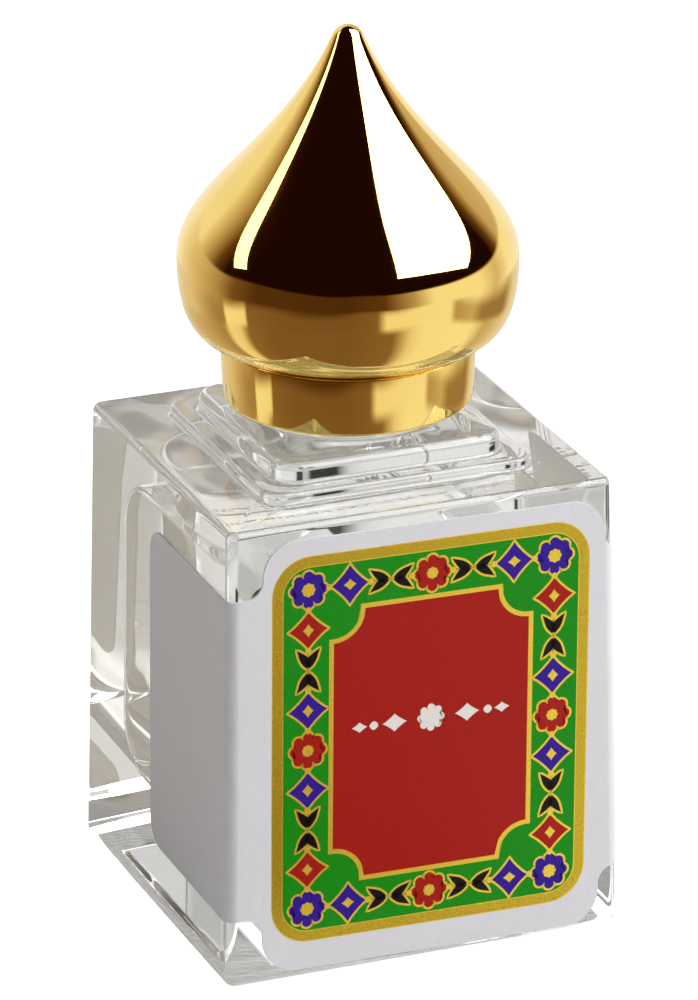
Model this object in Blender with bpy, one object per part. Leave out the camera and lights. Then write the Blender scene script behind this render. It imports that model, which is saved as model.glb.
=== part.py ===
"""Square glass bottle of fragrance oil, with a roll-on fitment and an onion-dome screw cap.

Metres, +Z up. The origin is the middle of the base, and the printed label faces -Y.
"""
from math import atan2, cos, degrees, pi, radians, sin, sqrt

import bmesh
import bpy
from mathutils import Matrix, Vector

# Glass body, measured at half its height
BODY_WIDTH = 0.0300
BODY_DEPTH = 0.0290
BODY_HEIGHT = 0.0349
WALL_LEAN = 0.00033          # how far each side leans in above mid height, and out below it
VERTICAL_EDGE_RADIUS = 0.0008
SHOULDER_EDGE_RADIUS = 0.00055
BASE_EDGE_RADIUS = 0.0009
BASE_RING_WIDTH = 0.0035     # flat ring that the bottle stands on
PUSH_UP_DEPTH = 0.0005
PUSH_UP_RUN = 0.0012
LEAST_CORNER_RADIUS = 0.0003

# Cavity in the glass
SIDE_WALL = 0.0032
BASE_THICKNESS = 0.0070
SHOULDER_THICKNESS = 0.0050
CAVITY_CORNER_RADIUS = 0.0046
CAVITY_FLOOR_RADIUS = 0.0042
CAVITY_ROOF_RADIUS = 0.0034
BORE_FLARE_RADIUS = 0.0015

# Two-step square plinth and the screw neck on it
NECK_RADIUS = 0.0066
NECK_HEIGHT = 0.0118
NECK_BORE_RADIUS = 0.0048
NECK_ROOT_FILLET = 0.0005
RIM_ROUNDING = 0.0005
CROWN_RISE = 0.0002
TOP_LEDGE = 0.0010
UPPER_STEP_HEIGHT = 0.0015
UPPER_STEP_EDGE_RADIUS = 0.0007
UPPER_STEP_CORNER_RADIUS = 0.0020
STEP_LEDGE = 0.0009
LOWER_STEP_HEIGHT = 0.0008
LOWER_STEP_EDGE_RADIUS = 0.0003
LOWER_STEP_CORNER_RADIUS = 0.0016
STEP_COVE = 0.0003

# Fill
FILL_HEADSPACE = 0.0055      # in the bore, from the oil's surface up to the plug of the fitment
OIL_GAP = 0.00015

# Paper label, laid out flat along the girth and wrapped round the two front edges
LABEL_THICKNESS = 0.00015
LABEL_GAP = 0.00005
PANEL_WIDTH = 0.0262
PANEL_HEIGHT = 0.0330
PANEL_MIDDLE_X = 0.0007
PANEL_MIDDLE_Z = 0.0172
PANEL_CORNER_RADIUS = 0.0026
WING_HEIGHT = 0.0245
WING_MIDDLE_Z = 0.01735
WING_REACH = 0.0150          # how far a wing reaches back from the front face
WING_CORNER_RADIUS = 0.0020
WING_FILLET_RADIUS = 0.0014
LABEL_TILT = radians(0.85)   # the label was stuck on this much clockwise

# Roll-on fitment
BALL_RADIUS = 0.0040
BALL_GAP = 0.00025
LIP_SHARE = 0.5              # height of the retaining lip above the ball's middle
LIP_WIDTH = 0.0008
HEAD_WALL = 0.0013
FLANGE_THICKNESS = 0.0012
FLANGE_SETBACK = 0.0003
FLANGE_CHAMFER = 0.0003
SEAT_GAP = 0.00005
PLUG_LENGTH = 0.0075
PLUG_GAP = 0.00025
PLUG_WALL = 0.0007
PLUG_SKIRT_WALL = 0.0010
PLUG_LEAD_IN = 0.0006
RIB_COUNT = 3
RIB_HEIGHT = 0.00017
RIB_PITCH = 0.0012
FEED_HOLE_RADIUS = 0.0012
WEB_THICKNESS = 0.0012

# Threaded inner cap and its sealing disc
THREAD_HEIGHT = 0.00065
THREAD_GAP = 0.00015
INSERT_WALL = 0.0007
INSERT_GAP = 0.0004
INSERT_SETBACK = 0.0004      # lower edge of the inner cap, up inside the collar
SEAL_THICKNESS = 0.0010
SEAL_GAP = 0.0002
SEAL_SIDE_GAP = 0.00015

# Gold outer cap
GLUE_GAP = 0.00015
CAP_GAP = 0.0013             # from the plinth to the collar
COLLAR_HEIGHT = 0.0044
COLLAR_WALL = 0.0008
COLLAR_FLARE = 0.0002
COLLAR_EDGE_RADIUS = 0.0003
GROOVE_DEPTH = 0.00035
GROOVE_WIDTH = 0.00035
DOME_WALL = 0.0011
DOME_OVERHANG = 0.00325      # of the dome's widest ring past the collar
DOME_FOOT_OVERHANG = 0.00035
EQUATOR_RISE = 0.0059        # of the dome's widest ring above its foot
UNDERCUT_DROP = 0.00355
UNDERCUT_REACH = 0.00213
UNDERCUT_TURN = 0.0002
FLANK_RISE = 0.0046
FLANK_DROP = 0.0095
FLANK_ANGLE = radians(24.4)
NOSE_RADIUS = 0.0012
NOSE_RISE = 0.0083           # of the nose's centre above the inner cap

# Facets
CORNER_STEPS = 5
SIDE_STEPS = 6
QUARTER_STEPS = 3
TURN_STEPS = 48
SMALL_TURN_STEPS = 40
BALL_SEGMENTS = 24
BALL_RINGS = 14
CURVE_STEPS = 10
MERGE_DISTANCE_SHARE = 0.000001
SMOOTH_ANGLE = radians(35)

OUTLINE_POINTS = 4 * (CORNER_STEPS + SIDE_STEPS)


def clear_scene():
    for old in list(bpy.data.objects):
        bpy.data.objects.remove(old, do_unlink=True)


# Levels and radii that several pieces share

def half_width(z):
    return BODY_WIDTH / 2 + WALL_LEAN * (1 - 2 * z / BODY_HEIGHT)


def half_depth(z):
    return BODY_DEPTH / 2 + WALL_LEAN * (1 - 2 * z / BODY_HEIGHT)


def plinth_top():
    return BODY_HEIGHT + LOWER_STEP_HEIGHT + UPPER_STEP_HEIGHT


def rim_z():
    return plinth_top() + NECK_HEIGHT


def socket_radius():
    return BALL_RADIUS + BALL_GAP


def plug_radius():
    return NECK_BORE_RADIUS - PLUG_GAP


def ball_z():
    """The ball sits as low as the wall of the plug allows."""
    room = plug_radius() - PLUG_WALL
    return rim_z() + sqrt(max(socket_radius() ** 2 - room ** 2, 0))


def lip_z():
    return ball_z() + BALL_RADIUS * LIP_SHARE


def flange_top():
    return rim_z() + SEAT_GAP + FLANGE_THICKNESS


def head_radius():
    return socket_radius() + HEAD_WALL


def seal_z():
    return ball_z() + BALL_RADIUS + SEAL_GAP


def insert_roof_z():
    return seal_z() + SEAL_THICKNESS + SEAL_SIDE_GAP


def insert_top_z():
    return insert_roof_z() + INSERT_WALL


def thread_bore_radius():
    return NECK_RADIUS + THREAD_HEIGHT + THREAD_GAP


def insert_radius():
    return thread_bore_radius() + INSERT_WALL


def collar_bore_radius():
    return insert_radius() + GLUE_GAP


def collar_radius():
    return collar_bore_radius() + COLLAR_WALL


def collar_bottom_z():
    return plinth_top() + CAP_GAP


# Outlines and profiles

def arc(centre, radius, start, end, steps=QUARTER_STEPS):
    """Points round a centre from one angle to another, in degrees."""
    angles = [radians(start + (end - start) * k / steps) for k in range(steps + 1)]
    return [(centre[0] + radius * cos(a), centre[1] + radius * sin(a)) for a in angles]


def bezier(a, b, c, d, steps):
    """Points along a cubic curve from a to d."""
    points = []
    for k in range(steps + 1):
        t = k / steps
        weights = ((1 - t) ** 3, 3 * t * (1 - t) ** 2, 3 * t * t * (1 - t), t ** 3)
        points.append(tuple(sum(w * p[i] for w, p in zip(weights, (a, b, c, d))) for i in (0, 1)))
    return points


def offset_inwards(points, distance):
    """A curve that runs beside another, on the side of the axis."""
    moved = []
    for k, (r, z) in enumerate(points):
        before, after = points[max(k - 1, 0)], points[min(k + 1, len(points) - 1)]
        along = Vector((after[0] - before[0], after[1] - before[1])).normalized()
        moved.append((r + along.y * distance, z - along.x * distance))
    return moved


def rounded_rectangle(half_x, half_y, radius, z):
    """One level of a square loft, from the +X side, anticlockwise."""
    radius = max(radius, LEAST_CORNER_RADIUS)
    corners = [(half_x - radius, half_y - radius), (radius - half_x, half_y - radius),
               (radius - half_x, radius - half_y), (half_x - radius, radius - half_y)]
    rounds = [arc(corner, radius, 90 * k, 90 * k + 90, CORNER_STEPS) for k, corner in enumerate(corners)]
    points = []
    for k, corner_round in enumerate(rounds):
        here, there = Vector(corner_round[-1]), Vector(rounds[(k + 1) % 4][0])
        points += corner_round
        points += [here.lerp(there, s / SIDE_STEPS)[:] for s in range(1, SIDE_STEPS)]
    return [Vector((x, y, z)) for x, y in points]


def circle(radius, z):
    """One level of a round loft, with its points beside those of a rounded rectangle."""
    step = 2 * pi / OUTLINE_POINTS
    first = pi / 4 - step * CORNER_STEPS / 2
    angles = [first + step * k for k in range(OUTLINE_POINTS)]
    return [Vector((radius * cos(a), radius * sin(a), z)) for a in angles]


def rounded_polygon(corners, steps=QUARTER_STEPS):
    """A flat outline with its corners, given as x, z and radius, rounded in or out."""
    outline = []
    for k, (x, z, radius) in enumerate(corners):
        corner = Vector((x, z))
        before = (Vector(corners[k - 1][:2]) - corner).normalized()
        after = (Vector(corners[(k + 1) % len(corners)][:2]) - corner).normalized()
        centre = corner + (before + after) * radius
        for s in range(steps + 1):
            turn = pi / 2 * s / steps
            outline.append(centre - after * radius * cos(turn) - before * radius * sin(turn))
    return outline


# Mesh builders

def new_object(name, mesh_source, material, parent=None, location=(0, 0, 0)):
    mesh = bpy.data.meshes.new(name)
    bmesh.ops.recalc_face_normals(mesh_source, faces=mesh_source.faces)
    mesh_source.to_mesh(mesh)
    mesh_source.free()
    mesh.shade_smooth()
    mesh.set_sharp_from_angle(angle=SMOOTH_ANGLE)
    mesh.materials.append(material)
    piece = bpy.data.objects.new(name, mesh)
    bpy.context.collection.objects.link(piece)
    piece.location = location
    if parent:
        piece.parent = parent
        piece.matrix_parent_inverse = Matrix.Translation(parent.location).inverted()
    return piece


def loft(levels):
    """A closed skin through rings of matching points, with a face over each end."""
    bm = bmesh.new()
    rings = [[bm.verts.new(point) for point in level] for level in levels]
    for lower, upper in zip(rings, rings[1:]):
        for k, vertex in enumerate(lower):
            bm.faces.new((lower[k - 1], vertex, upper[k], upper[k - 1]))
    bm.faces.new(rings[0])
    bm.faces.new(rings[-1])
    return bm


def turned(profile, steps, closed=False):
    """A profile of radius and height spun about Z. A closed profile stays clear of the axis."""
    bm = bmesh.new()
    vertices = [bm.verts.new((r, 0, z)) for r, z in profile]
    pairs = list(zip(vertices, vertices[1:]))
    if closed:
        pairs.append((vertices[-1], vertices[0]))
    edges = [bm.edges.new(pair) for pair in pairs]
    bmesh.ops.spin(bm, geom=vertices + edges, cent=(0, 0, 0), axis=(0, 0, 1), angle=2 * pi, steps=steps,
                   use_merge=True)
    bmesh.ops.remove_doubles(bm, verts=bm.verts, dist=BODY_WIDTH * MERGE_DISTANCE_SHARE)
    return bm


def add_empty(name, location, parent=None):
    empty = bpy.data.objects.new(name, None)
    bpy.context.collection.objects.link(empty)
    empty.location = location
    empty.empty_display_size = BALL_RADIUS
    if parent:
        empty.parent = parent
        empty.matrix_parent_inverse = Matrix.Translation(parent.location).inverted()
    return empty


def make_material(name, colour, roughness, metallic=0.0, transmission=0.0, ior=1.45):
    material = bpy.data.materials.new(name)
    material.use_nodes = True
    shader = material.node_tree.nodes["Principled BSDF"]
    shader.inputs["Base Color"].default_value = (*colour, 1.0)
    shader.inputs["Roughness"].default_value = roughness
    shader.inputs["Metallic"].default_value = metallic
    shader.inputs["Transmission Weight"].default_value = transmission
    shader.inputs["IOR"].default_value = ior
    material.diffuse_color = (*colour, 1.0)
    return material


# Glass bottle

def body_level(inset, z):
    return rounded_rectangle(half_width(z) - inset, half_depth(z) - inset, VERTICAL_EDGE_RADIUS - inset, z)


def base_levels():
    """The shallow push-up under the base, then the ring that the bottle stands on."""
    ring_inner = BASE_EDGE_RADIUS + BASE_RING_WIDTH
    levels = [body_level(ring_inner + PUSH_UP_RUN, 0), body_level(ring_inner, 0)]
    for point in levels[0]:
        point.z = PUSH_UP_DEPTH
    return levels


def outer_wall_levels():
    lower = arc((BASE_EDGE_RADIUS, BASE_EDGE_RADIUS), BASE_EDGE_RADIUS, 270, 180)
    upper_centre = (SHOULDER_EDGE_RADIUS, BODY_HEIGHT - SHOULDER_EDGE_RADIUS)
    upper = arc(upper_centre, SHOULDER_EDGE_RADIUS, 180, 90)
    return [body_level(inset, z) for inset, z in lower + upper]


def step_levels(half_size, corner_radius, foot_z, top_z, edge_radius):
    """One step of the plinth, from the cove at its foot to its rounded upper edge."""
    cove = arc((half_size + STEP_COVE, foot_z + STEP_COVE), STEP_COVE, 270, 180)
    edge = arc((half_size - edge_radius, top_z - edge_radius), edge_radius, 0, 90)
    return [rounded_rectangle(reach, reach, corner_radius + reach - half_size, z) for reach, z in cove + edge]


def plinth_levels():
    upper_half = NECK_RADIUS + NECK_ROOT_FILLET + TOP_LEDGE + UPPER_STEP_EDGE_RADIUS
    lower_half = upper_half + STEP_COVE + STEP_LEDGE + LOWER_STEP_EDGE_RADIUS
    step_z = BODY_HEIGHT + LOWER_STEP_HEIGHT
    lower = step_levels(lower_half, LOWER_STEP_CORNER_RADIUS, BODY_HEIGHT, step_z, LOWER_STEP_EDGE_RADIUS)
    upper = step_levels(upper_half, UPPER_STEP_CORNER_RADIUS, step_z, plinth_top(), UPPER_STEP_EDGE_RADIUS)
    return lower + upper


def neck_levels():
    root_centre = (NECK_RADIUS + NECK_ROOT_FILLET, plinth_top() + CROWN_RISE + NECK_ROOT_FILLET)
    root = arc(root_centre, NECK_ROOT_FILLET, 270, 180)
    outer_rim = arc((NECK_RADIUS - RIM_ROUNDING, rim_z() - RIM_ROUNDING), RIM_ROUNDING, 0, 90)
    inner_rim = arc((NECK_BORE_RADIUS + RIM_ROUNDING, rim_z() - RIM_ROUNDING), RIM_ROUNDING, 90, 180)
    return [circle(r, z) for r, z in root + outer_rim + inner_rim]


def cavity_half_width():
    return BODY_WIDTH / 2 - SIDE_WALL


def cavity_half_depth():
    return BODY_DEPTH / 2 - SIDE_WALL


def cavity_roof_z():
    return BODY_HEIGHT - SHOULDER_THICKNESS


def roof_radius():
    """The round under the shoulder, kept clear of the bore's flare."""
    room = cavity_half_depth() - NECK_BORE_RADIUS - 2 * BORE_FLARE_RADIUS
    return min(CAVITY_ROOF_RADIUS, room)


def cavity_level(inset, z):
    return rounded_rectangle(cavity_half_width() - inset, cavity_half_depth() - inset,
                             CAVITY_CORNER_RADIUS - inset, z)


def cavity_levels(gap=0):
    """Down the bore, out under the shoulder and down the inner wall to the floor, or inside it by a gap."""
    roof_z, radius = cavity_roof_z(), roof_radius()
    flare_centre = (NECK_BORE_RADIUS + BORE_FLARE_RADIUS, roof_z + BORE_FLARE_RADIUS)
    flare = [circle(r, z) for r, z in arc(flare_centre, BORE_FLARE_RADIUS + gap, 180, 270)]
    roof = arc((radius + gap, roof_z - gap - radius), radius, 90, 180)
    floor_centre = (CAVITY_FLOOR_RADIUS + gap, BASE_THICKNESS + gap + CAVITY_FLOOR_RADIUS)
    floor = arc(floor_centre, CAVITY_FLOOR_RADIUS, 180, 270, CORNER_STEPS)
    return flare + [cavity_level(inset, z) for inset, z in roof + floor]


def make_bottle(parent):
    glass = make_material("clear_glass", (0.96, 0.98, 0.97), 0.02, transmission=1.0, ior=1.52)
    levels = base_levels() + outer_wall_levels() + plinth_levels() + neck_levels() + cavity_levels()
    return new_object("glass_bottle", loft(levels), glass, parent)


def make_oil(parent):
    """The fill takes the shape of the cavity and stands in the bore, a little way below the plug."""
    oil = make_material("oil", (0.98, 0.95, 0.86), 0.02, transmission=1.0, ior=1.46)
    surface_z = rim_z() - PLUG_LENGTH - FILL_HEADSPACE
    levels = cavity_levels(OIL_GAP)[::-1] + [circle(NECK_BORE_RADIUS - OIL_GAP, surface_z)]
    return new_object("fragrance_oil", loft(levels), oil, parent)


# Paper label

def label_outline():
    """The die-cut sheet laid flat, x along the girth from the middle of the front face."""
    end = BODY_WIDTH / 2 + WING_REACH
    left, right = PANEL_MIDDLE_X - PANEL_WIDTH / 2, PANEL_MIDDLE_X + PANEL_WIDTH / 2
    low, high = PANEL_MIDDLE_Z - PANEL_HEIGHT / 2, PANEL_MIDDLE_Z + PANEL_HEIGHT / 2
    wing_low, wing_high = WING_MIDDLE_Z - WING_HEIGHT / 2, WING_MIDDLE_Z + WING_HEIGHT / 2
    corners = [(end, wing_low, WING_CORNER_RADIUS), (end, wing_high, WING_CORNER_RADIUS),
               (right, wing_high, WING_FILLET_RADIUS), (right, high, PANEL_CORNER_RADIUS),
               (left, high, PANEL_CORNER_RADIUS), (left, wing_high, WING_FILLET_RADIUS),
               (-end, wing_high, WING_CORNER_RADIUS), (-end, wing_low, WING_CORNER_RADIUS),
               (left, wing_low, WING_FILLET_RADIUS), (left, low, PANEL_CORNER_RADIUS),
               (right, low, PANEL_CORNER_RADIUS), (right, wing_low, WING_FILLET_RADIUS)]
    middle = Vector((PANEL_MIDDLE_X, PANEL_MIDDLE_Z))
    tilt = Matrix.Rotation(-LABEL_TILT, 2)
    return [middle + tilt @ (point - middle) for point in rounded_polygon(corners)]


def wrap(point):
    """Takes a point of the flat sheet, with -y as its height off the glass, round the front edges."""
    z, height = point.z, -point.y
    radius = VERTICAL_EDGE_RADIUS
    flat, bend = half_width(z) - radius, radius * pi / 2
    along = abs(point.x)
    side = 1 if point.x > 0 else -1
    if along <= flat:
        return Vector((point.x, -half_depth(z) - height, z))
    if along <= flat + bend:
        turn = (along - flat) / radius
        return Vector((side * (flat + (radius + height) * sin(turn)),
                       radius - half_depth(z) - (radius + height) * cos(turn), z))
    return Vector((side * (half_width(z) + height), radius - half_depth(z) + along - flat - bend, z))


def cut_at_bends(bm):
    """Cuts the flat sheet along each line where the wrapped sheet changes direction."""
    lean_slope = 2 * WALL_LEAN / BODY_HEIGHT
    for side in (1, -1):
        for k in range(CORNER_STEPS + 1):
            along = BODY_WIDTH / 2 - VERTICAL_EDGE_RADIUS * (1 - pi / 2 * k / CORNER_STEPS)
            bmesh.ops.bisect_plane(bm, geom=bm.verts[:] + bm.edges[:] + bm.faces[:],
                                   dist=BODY_WIDTH * MERGE_DISTANCE_SHARE,
                                   plane_co=(side * along, 0, BODY_HEIGHT / 2), plane_no=(side, 0, lean_slope))


def make_label(parent):
    paper = make_material("label_paper", (0.83, 0.82, 0.86), 0.55)
    bm = bmesh.new()
    outline = [bm.verts.new((point.x, -LABEL_GAP, point.y)) for point in label_outline()]
    bmesh.ops.triangulate(bm, faces=[bm.faces.new(outline)])
    cut_at_bends(bm)
    sheet = bmesh.ops.extrude_face_region(bm, geom=bm.faces[:])
    outer = [item for item in sheet["geom"] if isinstance(item, bmesh.types.BMVert)]
    bmesh.ops.translate(bm, verts=outer, vec=(0, -LABEL_THICKNESS, 0))
    for vertex in bm.verts:
        vertex.co = wrap(vertex.co)
    return new_object("paper_label", bm, paper, parent)


# Roll-on fitment

def plug_side():
    """Down the outside of the plug over its sealing ribs, each sharp above and sloped below."""
    radius, z = plug_radius(), rim_z() + SEAT_GAP
    points = [(radius, z)]
    for k in range(RIB_COUNT):
        z -= RIB_PITCH
        points += [(radius, z), (radius + RIB_HEIGHT, z - RIB_HEIGHT), (radius, z - RIB_PITCH / 2)]
    return points


def socket_profile():
    """The round seat of the ball, from the feed hole up to the retaining lip."""
    radius, rise = socket_radius(), lip_z() - ball_z()
    low = degrees(atan2(-sqrt(radius ** 2 - FEED_HOLE_RADIUS ** 2), FEED_HOLE_RADIUS))
    high = degrees(atan2(rise, sqrt(radius ** 2 - rise ** 2)))
    return arc((0, ball_z()), radius, low, high, 2 * QUARTER_STEPS + 1)


def housing_profile():
    flange_radius = NECK_RADIUS - FLANGE_SETBACK
    plug_end = rim_z() - PLUG_LENGTH
    skirt_radius = plug_radius() - PLUG_SKIRT_WALL
    web_z = ball_z() - socket_radius() - WEB_THICKNESS
    socket = socket_profile()
    lip_radius = socket[-1][0]
    outside = [(lip_radius + LIP_WIDTH, lip_z()),
               (head_radius(), flange_top() + FLANGE_CHAMFER),
               (head_radius(), flange_top()),
               (flange_radius - FLANGE_CHAMFER, flange_top()),
               (flange_radius, flange_top() - FLANGE_CHAMFER),
               (flange_radius, rim_z() + SEAT_GAP)]
    bottom = [(plug_radius(), plug_end + PLUG_LEAD_IN), (skirt_radius + FLANGE_CHAMFER, plug_end),
              (skirt_radius, plug_end)]
    inside = [(skirt_radius, web_z - FLANGE_CHAMFER), (skirt_radius - FLANGE_CHAMFER, web_z),
              (FEED_HOLE_RADIUS, web_z)]
    return outside + plug_side() + bottom + inside + socket


def make_housing(parent):
    plastic = make_material("white_polyethylene", (0.86, 0.87, 0.86), 0.4)
    return new_object("roll_on_housing", turned(housing_profile(), SMALL_TURN_STEPS, closed=True), plastic, parent)


def make_ball(parent):
    steel = make_material("steel_ball", (0.80, 0.80, 0.82), 0.08, metallic=1.0)
    bm = bmesh.new()
    bmesh.ops.create_uvsphere(bm, u_segments=BALL_SEGMENTS, v_segments=BALL_RINGS, radius=BALL_RADIUS)
    return new_object("roller_ball", bm, steel, parent, location=(0, 0, ball_z()))


# Inner cap and seal

def insert_profile():
    """The inner cap: a threaded skirt, a step over the flange and a chamber for the ball and seal."""
    bore, head_room = thread_bore_radius(), head_radius() + INSERT_GAP
    chamber = BALL_RADIUS + INSERT_GAP
    bottom_z, step_z = collar_bottom_z() + INSERT_SETBACK, flange_top() + INSERT_GAP
    cone_z = lip_z() + head_room - chamber
    roof_z, top_z = insert_roof_z(), insert_top_z()
    wall = INSERT_WALL
    outside = [(0, top_z), (chamber, top_z), (chamber + wall, top_z - wall), (chamber + wall, cone_z + wall / 2),
               (head_room + wall, lip_z() + wall / 2), (head_room + wall, step_z + wall),
               (bore, step_z + wall), (bore + wall, step_z), (bore + wall, bottom_z)]
    inside = [(bore, bottom_z), (bore, step_z), (head_room, step_z), (head_room, lip_z()), (chamber, cone_z),
              (chamber, roof_z), (0, roof_z)]
    return outside + inside


def make_insert(parent):
    plastic = make_material("inner_cap_plastic", (0.84, 0.84, 0.82), 0.45)
    return new_object("cap_insert", turned(insert_profile(), TURN_STEPS), plastic, parent)


def make_seal(parent):
    foam = make_material("seal_foam", (0.88, 0.88, 0.86), 0.8)
    radius = BALL_RADIUS + INSERT_GAP - SEAL_SIDE_GAP
    profile = [(0, SEAL_THICKNESS), (radius, SEAL_THICKNESS), (radius, 0), (0, 0)]
    return new_object("cap_seal", turned(profile, SMALL_TURN_STEPS), foam, parent, location=(0, 0, seal_z()))


# Gold outer cap

def nose_z():
    return insert_top_z() + NOSE_RISE


def dome_curve():
    """From the nose down the ogee flank, round the widest ring and in to the foot."""
    foot = (collar_radius() + DOME_FOOT_OVERHANG, collar_bottom_z() + COLLAR_HEIGHT + GROOVE_WIDTH)
    equator = (collar_radius() + DOME_OVERHANG, foot[1] + EQUATOR_RISE)
    shoulder = (NOSE_RADIUS * cos(FLANK_ANGLE), nose_z() + NOSE_RADIUS * sin(FLANK_ANGLE))
    below = (shoulder[0] + FLANK_DROP * sin(FLANK_ANGLE), shoulder[1] - FLANK_DROP * cos(FLANK_ANGLE))
    flank = bezier(shoulder, below, (equator[0], equator[1] + FLANK_RISE), equator, CURVE_STEPS)
    tuck = (foot[0] + UNDERCUT_REACH, foot[1] + UNDERCUT_TURN)
    undercut = bezier(equator, (equator[0], equator[1] - UNDERCUT_DROP), tuck, foot, CURVE_STEPS // 2 + 1)
    return flank + undercut[1:]


def collar_curve():
    """The groove under the dome and the collar, down to its rounded lower edge."""
    bottom_z, radius = collar_bottom_z(), collar_radius()
    top_z = bottom_z + COLLAR_HEIGHT
    groove = [(radius + COLLAR_FLARE - GROOVE_DEPTH, top_z + GROOVE_WIDTH / 2), (radius + COLLAR_FLARE, top_z)]
    edge_centre = (radius - COLLAR_EDGE_RADIUS, bottom_z + COLLAR_EDGE_RADIUS)
    return groove + arc(edge_centre, COLLAR_EDGE_RADIUS, 0, -90)


def hollow_curve():
    """Up the collar's bore, over the shelf at the dome's foot and up the hollow to its roof."""
    beside = offset_inwards(dome_curve(), DOME_WALL)
    hollow = [point for point in beside if point[0] > DOME_WALL]
    shelf_z = hollow[-1][1]
    bore = [(collar_bore_radius(), collar_bottom_z()), (collar_bore_radius(), shelf_z)]
    return bore + hollow[::-1] + [(0, hollow[0][1])]


def shell_profile():
    nose = arc((0, nose_z()), NOSE_RADIUS, 90, degrees(FLANK_ANGLE))
    return nose[:-1] + dome_curve() + collar_curve() + hollow_curve()


def make_shell(parent):
    gold = make_material("gold_plating", (0.86, 0.58, 0.20), 0.08, metallic=1.0)
    return new_object("cap_shell", turned(shell_profile(), TURN_STEPS), gold, parent)


def main():
    clear_scene()
    bottle = add_empty("bottle", (0, 0, 0))
    cap_axis = add_empty("cap_axis", (0, 0, rim_z()), bottle)
    make_bottle(bottle)
    make_oil(bottle)
    make_label(bottle)
    make_housing(bottle)
    make_ball(bottle)
    make_seal(cap_axis)
    make_insert(cap_axis)
    make_shell(cap_axis)


main()
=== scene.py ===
"""Looks of a square glass bottle of fragrance oil with a roll-on fitment and a gold onion-dome cap.

Metres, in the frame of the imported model: +Z up along the neck, and the label faces -Y.
"""
from math import acos, asin, copysign, cos, degrees, pi, radians, sin, sqrt

import bmesh
import bpy
from mathutils import Matrix, Vector


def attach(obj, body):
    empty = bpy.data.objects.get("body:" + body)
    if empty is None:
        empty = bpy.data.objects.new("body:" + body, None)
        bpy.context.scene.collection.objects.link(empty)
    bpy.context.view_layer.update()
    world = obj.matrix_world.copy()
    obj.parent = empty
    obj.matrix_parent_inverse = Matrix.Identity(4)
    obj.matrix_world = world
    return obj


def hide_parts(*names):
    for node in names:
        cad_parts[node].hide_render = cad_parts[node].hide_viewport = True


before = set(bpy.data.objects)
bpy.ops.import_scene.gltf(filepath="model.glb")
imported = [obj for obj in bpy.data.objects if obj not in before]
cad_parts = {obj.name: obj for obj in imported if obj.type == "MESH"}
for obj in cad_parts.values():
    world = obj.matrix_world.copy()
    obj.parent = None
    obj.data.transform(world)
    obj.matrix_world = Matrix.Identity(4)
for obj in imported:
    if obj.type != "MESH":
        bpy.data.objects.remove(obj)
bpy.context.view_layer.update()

# Camera, fitted to the edges of the glass in a frame of 698 x 1000 pixels
CAMERA_AZIMUTH = radians(-22.002)
CAMERA_ELEVATION = radians(21.968)
CAMERA_DISTANCE = 0.5087
CAMERA_TARGET_Z = 0.03011
CAMERA_TARGET_SIDE = 0.00008
CAMERA_LENS = 252.36
CAMERA_SENSOR = 36.0
CAMERA_CLIP = (0.01, 10.0)

# Glass body
BODY_WIDTH = 0.0300
BODY_DEPTH = 0.0290
BODY_HEIGHT = 0.0349
WALL_LEAN = 0.00033
VERTICAL_EDGE_RADIUS = 0.0008
SHOULDER_EDGE_RADIUS = 0.00055
BASE_EDGE_RADIUS = 0.0009
BASE_RING_WIDTH = 0.0035
STIPPLE_INSETS = (0.0019, 0.0013)
PUSH_UP_DEPTH = 0.0005
PUSH_UP_RUN = 0.0012
LEAST_CORNER_RADIUS = 0.0001

# Cavity
SIDE_WALL = 0.0032
BASE_THICKNESS = 0.0070
SHOULDER_THICKNESS = 0.0050
CAVITY_CORNER_RADIUS = 0.0046
CAVITY_FLOOR_RADIUS = 0.0042
CAVITY_ROOF_RADIUS = 0.0034
BORE_FLARE_RADIUS = 0.0015

# Plinth and neck
NECK_RADIUS = 0.0066
NECK_HEIGHT = 0.0118
NECK_BORE_RADIUS = 0.0048
NECK_ROOT_FILLET = 0.0005
RIM_ROUNDING = 0.0005
CROWN_RISE = 0.0002
TOP_LEDGE = 0.0010
UPPER_STEP_HEIGHT = 0.0015
UPPER_STEP_EDGE_RADIUS = 0.0007
UPPER_STEP_CORNER_RADIUS = 0.0020
STEP_LEDGE = 0.0009
LOWER_STEP_HEIGHT = 0.0008
LOWER_STEP_EDGE_RADIUS = 0.0003
LOWER_STEP_CORNER_RADIUS = 0.0016
STEP_COVE = 0.0003

# Screw thread, 12 to the inch
THREAD_PITCH = 0.0021167
THREAD_HEIGHT = 0.00065
THREAD_HALF_WIDTH = 0.00052
THREAD_GAP = 0.00015
NECK_THREAD_START = 0.0054      # above the plinth
NECK_THREAD_TURNS = 2.0
CAP_THREAD_TURNS = 1.2
THREAD_FADE_TURNS = 0.12
THREAD_STEEPNESS = 1.6

# Fill
FILL_HEADSPACE = 0.0055        # in the bore, from the oil's surface up to the plug
OIL_INSET = 0.00002
MENISCUS_RISE = 0.0004
MENISCUS_REACH = 0.0011

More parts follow.
